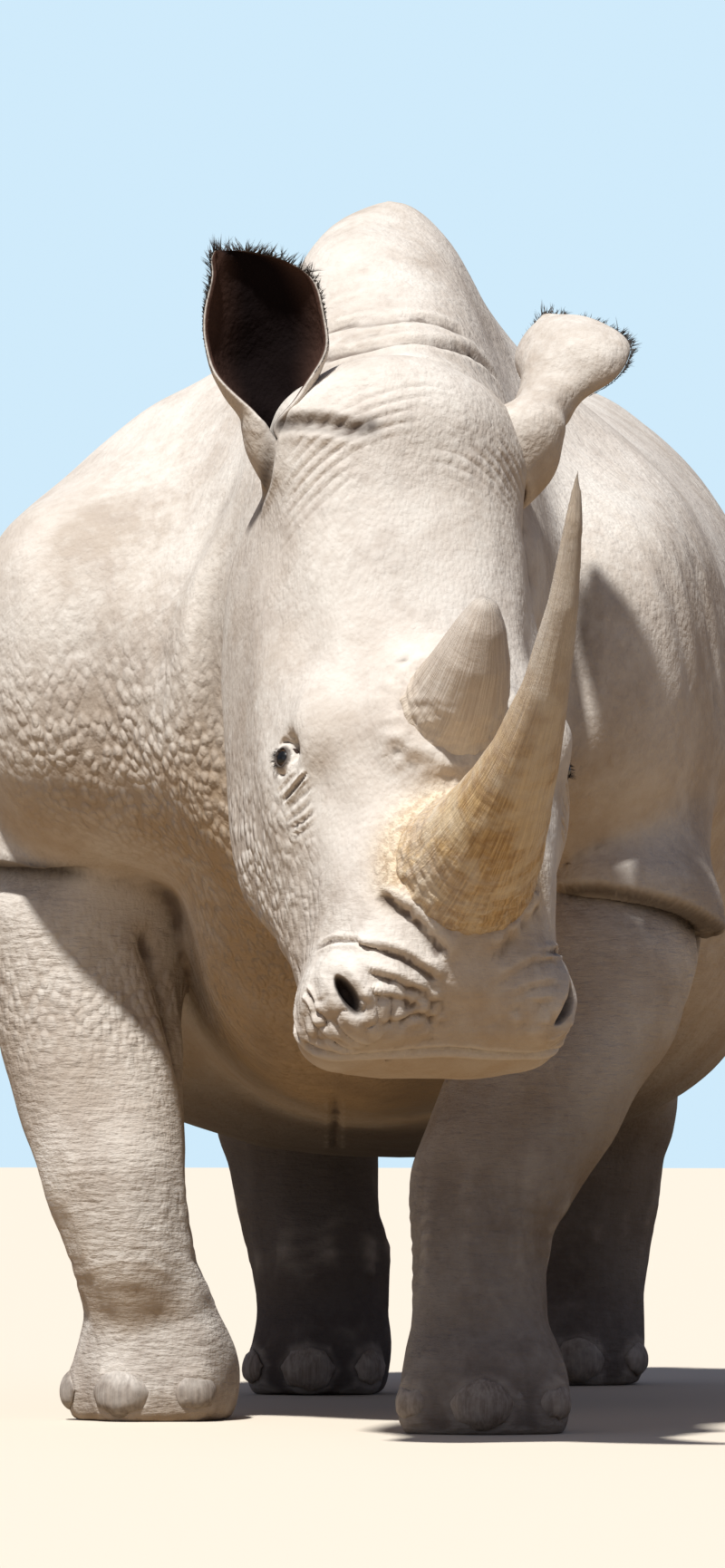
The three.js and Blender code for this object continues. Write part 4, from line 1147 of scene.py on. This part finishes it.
# %% [markdown]
# ## Toenails
# Each foot has three broad nails set into the front of the pad. They keep the frame's places, are wrapped
# in a fine net and rounded, and have upright furrows.


# %% Toenails
def make_nail(name):
    """A rounded toenail with upright furrows."""
    piece = copy_of([name], name.replace("nail_", "toenail_"))
    modify(piece, "REMESH", mode="VOXEL", voxel_size=0.003)
    points = Relaxer(piece).smooth(points_of(piece), 0.5, 40)
    place_points(piece, points)
    push = 0.0003 * noise(points * (1, 1, 0.2), 0.006) + 0.0006 * noise(points, 0.025, 2)
    place_points(piece, points + normals_of(piece) * push[:, None])
    hand_over(piece, "toenail", name)
    return piece


nails = [make_nail(name) for name in sorted(nail_names)]
print(len(nails), "toenails of", len(nails[0].data.polygons), "faces or so")

# %% [markdown]
# ## Hair
# A rhinoceros is all but bare. It has a fringe of dark hair round each ear, lashes, and a tuft of coarse
# bristles at the end of the tail. Each lock is a thin solid of three sides that tapers to a point, bends
# and lies with its neighbours. Its baking map gives it a patch of its own, at its root's place on an
# unwrap of the skin that it grows from: along and across an ear's rim, round and down the tail.

# %% Locks of hair
LOCK_STEPS = np.array([0.0, 0.33, 0.66])
LOCK_SIDES = 3
LOCK_SUNK = 0.08  # the share of a lock that is sunk in the skin
PATCH = 0.003  # how wide a lock's patch is on the baking map
random = np.random.default_rng(5)


def lock_faces(rings):
    """The faces of one lock: its closed root, its sides and its point."""
    faces = [(2, 1, 0)]
    for first in range(0, LOCK_SIDES * (rings - 1), LOCK_SIDES):
        for k in range(LOCK_SIDES):
            a, b = first + k, first + (k + 1) % LOCK_SIDES
            faces.append((a, b, b + LOCK_SIDES, a + LOCK_SIDES))
    last = LOCK_SIDES * (rings - 1)
    return faces + [(last + k, last + (k + 1) % LOCK_SIDES, last + LOCK_SIDES) for k in range(LOCK_SIDES)]


def make_locks(called, roots, ways, bends, lengths, thickness, spots):
    """One mesh of solid tapering locks. Spots are the roots' places on the unwrapped skin."""
    count, rings = len(roots), len(LOCK_STEPS)
    ways = ways / np.linalg.norm(ways, axis=1)[:, None]
    side = np.cross(ways, random.normal(size=(count, 3)))
    side /= np.linalg.norm(side, axis=1)[:, None]
    other = np.cross(ways, side)
    places = np.empty((count, rings * LOCK_SIDES + 1, 3))
    for r, t in enumerate(LOCK_STEPS):
        centre = roots + lengths[:, None] * (ways * (t - LOCK_SUNK) + bends * t * t)
        for k in range(LOCK_SIDES):
            turn = k * math.tau / LOCK_SIDES
            swing = side * math.cos(turn) + other * math.sin(turn)
            places[:, r * LOCK_SIDES + k] = centre + swing * (thickness * (1 - 0.55 * t))[:, None]
    places[:, -1] = roots + lengths[:, None] * (ways * (1 - LOCK_SUNK) + bends)
    faces = lock_faces(rings)
    step = places.shape[1]
    mesh = bpy.data.meshes.new(called)
    every = [tuple(i * step + k for k in face) for i in range(count) for face in faces]
    mesh.from_pydata(places.reshape(-1, 3).tolist(), [], every)
    across = np.array([k / 2 for k in range(LOCK_SIDES)] * rings + [0.5])
    up_lock = np.append(np.repeat(LOCK_STEPS, LOCK_SIDES), 1.0)
    corner = np.array([v for face in faces for v in face])
    local = np.column_stack([across[corner], up_lock[corner]]) * PATCH
    baked = (spots[:, None] * (1 - PATCH) + local[None]).reshape(-1, 2)
    mesh.uv_layers.new(name="OFBake").data.foreach_set("uv", baked.astype(np.float32).ravel())
    piece = link(called, mesh)
    hand_over(piece, "hide")
    print(called, count, "locks of", len(faces), "faces")
    return piece


def make_fringe(side, count, longest):
    """Hair along an ear's rim, longest at its point."""
    rim, out, up = rims[side], rim_ways[side], unit(EAR_PLACES[side]["up"])
    run = np.concatenate([[0], np.cumsum(np.linalg.norm(np.diff(rim, axis=0), axis=1))])
    s = np.sort(random.uniform(0, run[-1], count))
    roots = np.column_stack([np.interp(s, run, rim[:, k]) for k in range(3)])
    ways = np.column_stack([np.interp(s, run, out[:, k]) for k in range(3)])
    ways /= np.linalg.norm(ways, axis=1)[:, None]
    high = rise((roots - roots.min(0)) @ up / np.ptp(roots @ up), 0.15, 0.95)
    clump = np.repeat(random.normal(size=(count // 5 + 1, 3)), 5, axis=0)[:count]
    stray = random.normal(size=(count, 3))
    ways = ways * 0.6 + up * (0.35 + 0.6 * high[:, None]) + 0.22 * clump + 0.15 * stray
    bends = 0.25 * clump + 0.12 * up
    lengths = longest * (0.10 + 0.90 * high**2) * random.uniform(0.3, 1.0, count) ** 1.3
    spots = np.column_stack([s / run[-1], random.uniform(0, 1, count)])
    thickness = random.uniform(0.00035, 0.0007, count)
    return make_locks("hair_ear_" + side, roots, ways, bends, lengths, thickness, spots)


def make_tail_tuft(count):
    """Bristles round the end of the tail, hanging down and a little out."""
    low, high = (np.array(p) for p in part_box("tail"))
    points = points_of(skin)
    tip = points[(points[:, 1] > high[1] - 0.10) & (points[:, 2] < low[2] + 0.10)]
    tip = np.append(tip[:, :2].mean(0), low[2] + 0.02)
    down = np.array((0, 0, -1.0))
    at, angle = random.uniform(0, 1, count), random.uniform(0, math.tau, count)
    radius = 0.006 + 0.020 * np.sin(np.clip(at * 1.15, 0, 1) * math.pi) ** 0.7
    out = np.column_stack([np.cos(angle), np.sin(angle), np.zeros(count)])
    roots = tip + out * radius[:, None] - down * 0.015 - at[:, None] * down * 0.135
    ways = out * random.uniform(0.10, 0.35, count)[:, None] + down + 0.06 * random.normal(size=(count, 3))
    bends = -0.15 * out + 0.1 * down
    lengths = random.uniform(0.05, 0.12, count) * (0.6 + 0.4 * at)
    lengths = np.minimum(lengths, (roots[:, 2] - low[2] + 0.012) / 0.9)
    spots = np.column_stack([angle / math.tau, at])
    thickness = random.uniform(0.0008, 0.0014, count)
    return make_locks("hair_tail", roots, ways, bends, lengths, thickness, spots)


def make_lashes(count):
    """Lashes on the upper lids, curving out and down."""
    roots, ways, bends, spots = [], [], [], []
    for eye, (ball, along, across, out) in enumerate(eye_frames.values()):
        up_face = across @ head_axes[0]
        upper = -across * np.sign(up_face) if abs(up_face) > abs(across[2]) else across * np.sign(across[2])
        for _ in range(count):
            a = random.uniform(-0.95, 0.95)
            rim = along * a * SLIT[0] * 1.12 + upper * SLIT[1] * 1.15 * math.sqrt(1 - a * a)
            roots.append(ball + rim + out * (BALL * 0.86))
            ways.append(out + upper * random.uniform(0.2, 0.5) + along * (a * 0.4 + random.normal() * 0.1))
            bends.append(np.array((0, 0, -0.35)) + upper * 0.1)
            spots.append(((a + 1) / 2 * 0.9, (eye + random.uniform(0, 0.9)) / 2))
    lengths = random.uniform(0.006, 0.011, len(roots))
    roots, ways, bends, spots = (np.array(values) for values in (roots, ways, bends, spots))
    return make_locks("hair_lashes", roots, ways, bends, lengths, np.full(len(roots), 0.0005), spots)


hair = [
    make_fringe("right", 1100, 0.020), make_fringe("left", 1200, 0.014),
    make_tail_tuft(620), make_lashes(36),
]

# %% [markdown]
# ## Finishes
# A material is a small network of nodes. The helpers below add one node and join its inputs, so that a
# network reads as a recipe. An effect that several materials share, such as dust, is a node group.


# %% Helpers for networks
class Network:
    """Adds nodes to a tree. Inputs are given by name or number, as a value or as another node's output."""

    def __init__(self, tree):
        self.tree = tree

    def feed(self, socket, value):
        """Gives a socket its value, or joins it to another node's output."""
        if isinstance(value, bpy.types.NodeSocket):
            self.tree.links.new(value, socket)
        else:
            socket.default_value = value

    def add(self, kind, settings=None, **inputs):
        node = self.tree.nodes.new("ShaderNode" + kind)
        for name, value in (settings or {}).items():
            setattr(node, name, value)
        for name, value in inputs.items():
            by_number = name[0] == "i" and name[1:].isdigit()
            self.feed(node.inputs[int(name[1:]) if by_number else name.replace("_", " ")], value)
        return node

    def math(self, operation, a, b, clamp=False):
        return self.add("Math", {"operation": operation, "use_clamp": clamp}, i0=a, i1=b).outputs[0]

    def times(self, a, b, clamp=False):
        return self.math("MULTIPLY", a, b, clamp)

    def plus(self, a, b):
        return self.math("ADD", a, b)

    def mix(self, share, a, b):
        return self.add("Mix", {"data_type": "RGBA"}, i0=share, i6=a, i7=b).outputs[2]

    def spread(self, value, low, high, to_low=0.0, to_high=1.0):
        """A value smoothly brought from one range to another."""
        settings = {"interpolation_type": "SMOOTHSTEP"}
        return self.add("MapRange", settings, i0=value, i1=low, i2=high, i3=to_low, i4=to_high).outputs[0]

    def noise(self, where, scale, detail=3.0, rough=0.55):
        return self.add("TexNoise", Vector=where, Scale=scale, Detail=detail, Roughness=rough).outputs[0]

    def stretched(self, where, scale, turned=(0.0, 0.0, 0.0)):
        return self.add("Mapping", Vector=where, Rotation=turned, Scale=scale).outputs[0]

    def bump(self, height, strength, distance):
        return self.add("Bump", Strength=strength, Distance=distance, Height=height).outputs[0]

    def attribute(self, name, output="Fac"):
        return self.add("Attribute", {"attribute_name": name}).outputs[output]

    def group(self, tree, **inputs):
        return self.add("Group", {"node_tree": tree}, **inputs).outputs[0]


def colour(r, g, b):
    return (r, g, b, 1.0)


def new_group(name, inputs, outputs):
    """An empty node group with these sockets, as (kind, name) pairs, and its two ends."""
    tree = bpy.data.node_groups.new(name, "ShaderNodeTree")
    for way, sockets in (("INPUT", inputs), ("OUTPUT", outputs)):
        for kind, label in sockets:
            tree.interface.new_socket(name=label, in_out=way, socket_type="NodeSocket" + kind)
    start = tree.nodes.new("NodeGroupInput").outputs
    end = tree.nodes.new("NodeGroupOutput").inputs
    return Network(tree), start, end


def new_finish(name):
    """A new material: its network, its shader's sockets and the place on the object."""
    material = bpy.data.materials.new(name)
    material.use_nodes = True
    net = Network(material.node_tree)
    shader = material.node_tree.nodes["Principled BSDF"].inputs
    return material, net, shader, net.add("TexCoord").outputs["Object"]


# %% [markdown]
# Pale soil dust lies on the whole animal in patches. Two noises, one broad and one fine, decide where.

# %% Dust, shared by hide, horn and nails
DUST = colour(0.73, 0.695, 0.645)


def make_dust():
    """Pale soil dust lying in patches: more where Amount is higher."""
    inputs = [("Vector", "Place"), ("Float", "Amount"), ("Color", "Under")]
    net, start, end = new_group("soil_dust", inputs, [("Color", "Colour")])
    patches = net.noise(start["Place"], 5.0, 6.0, 0.62)
    fine = net.noise(start["Place"], 60.0, 3.0, 0.6)
    both = net.plus(net.times(patches, 0.75), net.times(fine, 0.25))
    share = net.times(net.spread(both, 0.38, 0.66), start["Amount"], True)
    net.feed(end["Colour"], net.mix(share, start["Under"], DUST))
    return net.tree


dust_group = make_dust()
print("dust:", len(dust_group.nodes), "nodes")


# %% [markdown]
# Thick skin is cracked into a net of small rounded plates. A Voronoi texture gives plates. Its places are
# bent by noise first, because the real ones aren't even.

# %% Cracked hide, as a height
def make_cracks():
    """The net of fine cracks in thick skin: rounded plates of a given size, drawn out and bent."""
    inputs = [("Vector", "Place"), ("Float", "Plates per metre")]
    net, start, end = new_group("cracked_plates", inputs, [("Float", "Height")])
    place = net.stretched(start["Place"], (1.0, 1.0, 0.62), (0.3, 0.5, 0.0))
    bent = net.add("TexNoise", Vector=place, Scale=9.0, Detail=4.0).outputs["Color"]
    centred = net.add("VectorMath", {"operation": "SUBTRACT"}, i0=bent, i1=(0.5, 0.5, 0.5)).outputs[0]
    nudge = net.add("VectorMath", {"operation": "SCALE"}, i0=centred, Scale=0.035).outputs[0]
    moved = net.add("VectorMath", {"operation": "ADD"}, i0=place, i1=nudge).outputs[0]
    plates = {"Vector": moved, "Scale": start["Plates per metre"], "Smoothness": 0.25}
    cells = net.add("TexVoronoi", {"feature": "SMOOTH_F1"}, **plates).outputs[0]
    net.feed(end["Height"], net.spread(cells, 0.15, 0.75, 1.0, 0.0))
    return net.tree


cracks_group = make_cracks()
print("cracks:", len(cracks_group.nodes), "nodes")


# %% [markdown]
# ### Hide
# The hide itself is grey, but it wears the pale soil that the animal rolls in. Its colour is laid in
# layers, as soil and light would do it: grey tones, dust, cracks, grime and painted shade under the chin
# and breast, painted warm shade on the chest and undersides, mud and painted shade on the legs, soil and
# painted shade in the creases, worn ridges, dark margins with painted shade under the sleeves, beside
# the left arm and the right ear, and the ears' dark lining, deepened to black inside as painted shade.
# Its relief is plates on neck and shoulder, rings on the legs, long bands on the body and a fine grain.

# %% Hide
PLATES, PEBBLES = 74.0, 170.0  # plates per metre, in the two nets of cracks


def hide_colour(net, place, patchy, plates, crumbs):
    """The colours of the hide, layer over layer."""
    height_over_floor = net.add("SeparateXYZ", Vector=place).outputs["Z"]
    hollow, inside = net.attribute("hollow"), net.attribute("ear_inside")
    broad = net.noise(place, 2.3, 5.0, 0.6)
    tone = net.mix(net.spread(broad, 0.36, 0.64), colour(0.45, 0.385, 0.325), colour(0.66, 0.605, 0.55))
    tone = net.mix(net.spread(patchy, 0.42, 0.72, 0.0, 0.5), tone, colour(0.42, 0.36, 0.315))
    low = net.spread(net.plus(height_over_floor, net.times(broad, 0.5)), 0.30, 0.80, 1.0, 0.0)
    tone = net.mix(net.times(low, 0.5), tone, colour(0.27, 0.23, 0.205))
    tone = net.group(dust_group, Place=place, Amount=0.75, Under=tone)

    pebbly = net.times(net.attribute("pebbly"), 0.6)
    cracks = net.plus(pebbly, net.times(net.spread(patchy, 0.38, 0.62), 0.05))
    cracked = net.times(net.spread(plates, 0.05, 0.45, 1.0, 0.0), cracks, True)
    # Grime and painted shade under the chin, on the breast and on the low undersides.
    grime_and_painted_shade = net.times(net.attribute("grime_and_painted_shade"), net.spread(patchy, 0.2, 0.7, 1.0, 0.75))
    # Painted warm shade on the chest and the undersides.
    painted_warm_shade = net.times(net.attribute("painted_warm_shade"), net.spread(patchy, 0.25, 0.7, 0.5, 0.9))
    horn_crumbs = net.mix(net.spread(crumbs, 0.4, 0.62), colour(0.46, 0.31, 0.16), colour(0.78, 0.64, 0.44))
    layers = [
        # how much of it lies where, and its colour
        (cracked, colour(0.30, 0.235, 0.18)),
        (grime_and_painted_shade, colour(0.17, 0.115, 0.070)),
        (net.times(net.attribute("horny"), 0.75), horn_crumbs),
        (painted_warm_shade, colour(0.46, 0.315, 0.175)),
        # Mud and painted shade on the hind legs and the left foreleg.
        (net.attribute("mud_and_painted_shade"), colour(0.062, 0.052, 0.052)),
        # Soil lies in the hollows, and painted shade darkens the creases further.
        (net.spread(hollow, 0.05, 0.9, 0.0, 0.85), colour(0.13, 0.095, 0.075)),
        (net.spread(hollow, -0.8, -0.1, 0.35, 0.0), colour(0.78, 0.72, 0.65)),
        # Dark margins of lids and nostrils, the tail's dark end, and painted shade under the sleeves, beside
        # the left arm and the right ear.
        (net.attribute("dark_and_painted_shade"), colour(0.045, 0.032, 0.028)),
    ]
    for share, laid_over in layers:
        tone = net.mix(share, tone, laid_over)
    # The ears' dark lining, deepened to near black as painted shade towards the middle of each scoop.
    lining_and_painted_shade = net.mix(net.spread(inside, 0.55, 0.9), colour(0.075, 0.040, 0.030), colour(0.008, 0.005, 0.005))
    return net.mix(net.spread(inside, 0.1, 0.45), tone, lining_and_painted_shade)


def hide_relief(net, place, patchy, plates, crumbs):
    """The heights of the hide: plates, pebbles, lines, grain and crumbs of horn."""
    pebbles = net.group(cracks_group, Place=place, Plates_per_metre=PEBBLES)
    rings = net.noise(net.stretched(place, (1.0, 1.0, 4.0)), 30.0, 5.0, 0.62)
    bands = net.noise(net.stretched(place, (1.0, 2.2, 1.0)), 30.0, 5.0, 0.62)
    lines = net.add("Mix", {"data_type": "FLOAT"}, i0=net.attribute("limb"), i2=bands, i3=rings).outputs[0]
    pebbly = net.times(net.attribute("pebbly"), 1.3)
    plated = net.plus(pebbly, net.times(net.spread(patchy, 0.38, 0.62), 0.20))
    relief = net.plus(net.times(plates, plated), net.times(pebbles, 0.10))
    relief = net.plus(relief, net.times(lines, net.spread(net.attribute("face"), 0.0, 1.0, 1.1, 0.5)))
    relief = net.plus(relief, net.times(net.noise(place, 420.0, 3.0, 0.6), 0.08))
    return net.plus(relief, net.times(net.times(crumbs, net.attribute("horny")), 1.5))


def make_hide():
    material, net, shader, place = new_finish("hide")
    patchy = net.noise(place, 13.0, 4.0, 0.6)
    crumbs = net.noise(place, 95.0, 4.0, 0.65)
    plates = net.group(cracks_group, Place=place, Plates_per_metre=PLATES)
    net.feed(shader["Base Color"], hide_colour(net, place, patchy, plates, crumbs))
    net.feed(shader["Roughness"], net.spread(patchy, 0.3, 0.7, 0.82, 0.95))
    net.feed(shader["Specular IOR Level"], net.spread(net.attribute("ear_inside"), 0.1, 0.5, 0.25, 0.05))
    net.feed(shader["Normal"], net.bump(hide_relief(net, place, patchy, plates, crumbs), 0.9, 0.0045))
    return material


# %% [markdown]
# ### Horn
# A horn is straw-brown where it is young, round its foot, and greyer and smoother towards the point. Its
# fibres are a noise drawn out along the grain attribute, and its growth bands are one drawn out round
# it. The rear horn is weathered nearly to the colour of the hide.

# %% Horn
def make_horn_finish():
    material, net, shader, place = new_finish("horn")
    grain, share = net.attribute("grain", "Vector"), net.attribute("share")
    fibres = net.noise(net.stretched(grain, (22.0, 22.0, 1.1)), 1.0, 5.0, 0.6)
    bands = net.noise(net.stretched(grain, (1.6, 1.6, 8.0)), 1.0, 5.0, 0.65)
    patches = net.noise(place, 14.0, 4.0, 0.6)
    crumbs = net.noise(place, 95.0, 4.0, 0.65)
    foot = net.spread(share, 0.04, 0.42, 1.0, 0.0)
    tone = net.mix(net.spread(fibres, 0.33, 0.66), colour(0.34, 0.20, 0.078), colour(0.66, 0.455, 0.215))
    tone = net.mix(net.spread(bands, 0.46, 0.66, 0.0, 0.55), tone, colour(0.32, 0.18, 0.075))
    tone = net.mix(net.spread(patches, 0.46, 0.62, 0.0, 0.5), tone, colour(0.76, 0.65, 0.47))
    tone = net.mix(net.times(foot, net.spread(crumbs, 0.48, 0.7, 0.0, 0.55)), tone, colour(0.80, 0.70, 0.54))
    tone = net.mix(net.spread(share, 0.28, 0.75, 0.0, 0.75), tone, colour(0.52, 0.455, 0.385))
    hoary = net.mix(net.spread(fibres, 0.3, 0.7), colour(0.47, 0.39, 0.32), colour(0.68, 0.61, 0.54))
    hoary = net.mix(net.spread(share, 0.10, 0.45, 1.0, 0.0), hoary, colour(0.62, 0.55, 0.47))
    tone = net.mix(net.times(net.attribute("weathered"), 0.85), tone, hoary)
    net.feed(shader["Base Color"], net.group(dust_group, Place=place, Amount=0.4, Under=tone))
    net.feed(shader["Roughness"], net.spread(fibres, 0.3, 0.7, 0.8, 0.6))
    relief = net.plus(net.times(fibres, 0.6), net.times(bands, 0.5))
    relief = net.plus(relief, net.times(net.times(crumbs, foot), 1.3))
    net.feed(shader["Normal"], net.bump(relief, 0.9, 0.0035))
    return material


# %% [markdown]
# ### Toenails
# A nail is dark grey-brown horn with faint upright lines, and dusty like the foot around it.

# %% Toenail
def make_nail_finish():
    material, net, shader, place = new_finish("toenail")
    lines = net.noise(net.stretched(place, (240.0, 240.0, 14.0)), 1.0, 3.0, 0.6)
    tone = net.mix(net.spread(lines, 0.35, 0.7), colour(0.20, 0.165, 0.14), colour(0.33, 0.28, 0.24))
    net.feed(shader["Base Color"], net.group(dust_group, Place=place, Amount=0.6, Under=tone))
    net.feed(shader["Roughness"], net.spread(lines, 0.3, 0.7, 0.7, 0.5))
    net.feed(shader["Normal"], net.bump(lines, 0.35, 0.0008))
    return material


# %% [markdown]
# ### Eyes
# The eye is dark brown with a black pupil and a dim brown white, all wet. How far forward a point of the
# ball lies, in radii, tells the three apart.

# %% Eye
def make_eye_finish():
    material, net, shader, place = new_finish("eye")
    front = net.attribute("front")
    streaks = net.spread(net.noise(place, 260.0, 3.0, 0.6), 0.35, 0.7)
    iris = net.mix(streaks, colour(0.035, 0.018, 0.010), colour(0.085, 0.045, 0.022))
    tone = net.mix(net.spread(front, 0.66, 0.72), colour(0.05, 0.033, 0.028), iris)
    tone = net.mix(net.spread(front, 0.925, 0.945), tone, colour(0.004, 0.004, 0.004))
    net.feed(shader["Base Color"], tone)
    net.feed(shader["Roughness"], 0.25)
    net.feed(shader["Coat Weight"], 0.35)
    net.feed(shader["Coat Roughness"], 0.04)
    return material


# %% [markdown]
# ### Hair
# The bristles are nearly black, with a little brown where they have bleached.

# %% Hair of ears, lids and tail
def make_hair_finish():
    material, net, shader, place = new_finish("hair")
    streaks = net.noise(place, 150.0, 2.0, 0.5)
    tone = net.mix(net.spread(streaks, 0.35, 0.65), colour(0.022, 0.018, 0.016), colour(0.085, 0.068, 0.058))
    net.feed(shader["Base Color"], tone)
    net.feed(shader["Roughness"], 0.6)
    return material


# %% Give each piece its finish
FINISHES = (
    ([skin], make_hide), (horns, make_horn_finish), (nails, make_nail_finish),
    (eyeballs, make_eye_finish), (hair, make_hair_finish),
)
for pieces, make_finish in FINISHES:
    finish = make_finish()
    for piece in pieces:
        piece.data.materials.clear()
        piece.data.materials.append(finish)
    print(finish.name, "on", len(pieces), "pieces,", len(finish.node_tree.nodes), "nodes")

# %% [markdown]
# ## Stage
# The camera stands low, far off and a little to the animal's left, as a long lens would be used. A long
# lens keeps the head from looking too large before the body.

# %% Camera
CAMERA_AT = (1.530, -14.653, 0.5)
CAMERA_TURN, CAMERA_RISE = math.radians(6), math.radians(1.70)
bpy.ops.object.select_all(action="DESELECT")
bpy.ops.object.camera_add(location=CAMERA_AT, rotation=(math.radians(90) + CAMERA_RISE, 0, CAMERA_TURN))
camera = bpy.context.object
camera.data.lens = 227.2
camera.data.sensor_width = 36
camera.data.clip_end = 200
bpy.context.scene.camera = camera
print("camera", round(math.dist(CAMERA_AT, (0, 0, CAMERA_AT[2])), 1), "m away")

# %% [markdown]
# The floor and the room's wall are pale where the camera sees them, but send less light back, so that
# the shade under the head and the belly keeps its depth. Light Path tells the camera's rays apart.

# %% Floor
bpy.ops.mesh.primitive_plane_add(size=80, location=(0, 0, 0))
floor = bpy.context.object
floor.name = "floor"
pale, ground, shader, _ = new_finish("pale_floor")
seen = ground.add("LightPath").outputs["Is Camera Ray"]
ground.feed(shader["Base Color"], ground.mix(seen, colour(0.29, 0.215, 0.135), colour(0.70, 0.63, 0.53)))
ground.feed(shader["Roughness"], 0.9)
floor.data.materials.append(pale)
print("floor at", floor.location.z)

# %% Room
world = bpy.data.worlds.new("studio")
bpy.context.scene.world = world
world.use_nodes = True
room = Network(world.node_tree)
seen = room.add("LightPath").outputs["Is Camera Ray"]
air = room.mix(seen, colour(0.14, 0.155, 0.21), colour(0.63, 0.83, 0.97))
room.feed(world.node_tree.nodes["Background"].inputs["Color"], air)
bpy.context.scene.view_settings.view_transform = "Standard"
print("room made, shown as", bpy.context.scene.view_settings.view_transform)

# %% [markdown]
# A lamp like a high sun, a little softened, models the folds from the animal's right, and a weak large
# one opens the shade.


# %% Lights
def lamp(kind, place, aim, power, tint, **sizes):
    """A lamp at a place, aimed at a point."""
    bpy.ops.object.light_add(type=kind, location=place)
    light = bpy.context.object
    light.data.energy = power
    light.data.color = tint
    light.rotation_euler = (Vector(aim) - Vector(place)).to_track_quat("-Z", "Y").to_euler()
    for name, value in sizes.items():
        setattr(light.data, name, value)
    print(kind.lower(), "lamp of power", power)


lamp("SUN", (-2.1, -6.9, 12.6), (0, -0.5, 0.9), 5.1, (1, 0.98, 0.94), angle=math.radians(3))
lamp("AREA", (-6, -9, 3), (0, 0, 0.8), 30, (0.86, 0.92, 1), size=5)

# %% [markdown]
# ## Hand over
# The skin stands for all the nodes of flesh and the ears.

# %% Hand the model over
hand_over(skin, "hide", *flesh, "ear_left", "ear_right")
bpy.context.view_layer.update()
print("made in", round(time.time() - started, 1), "s")
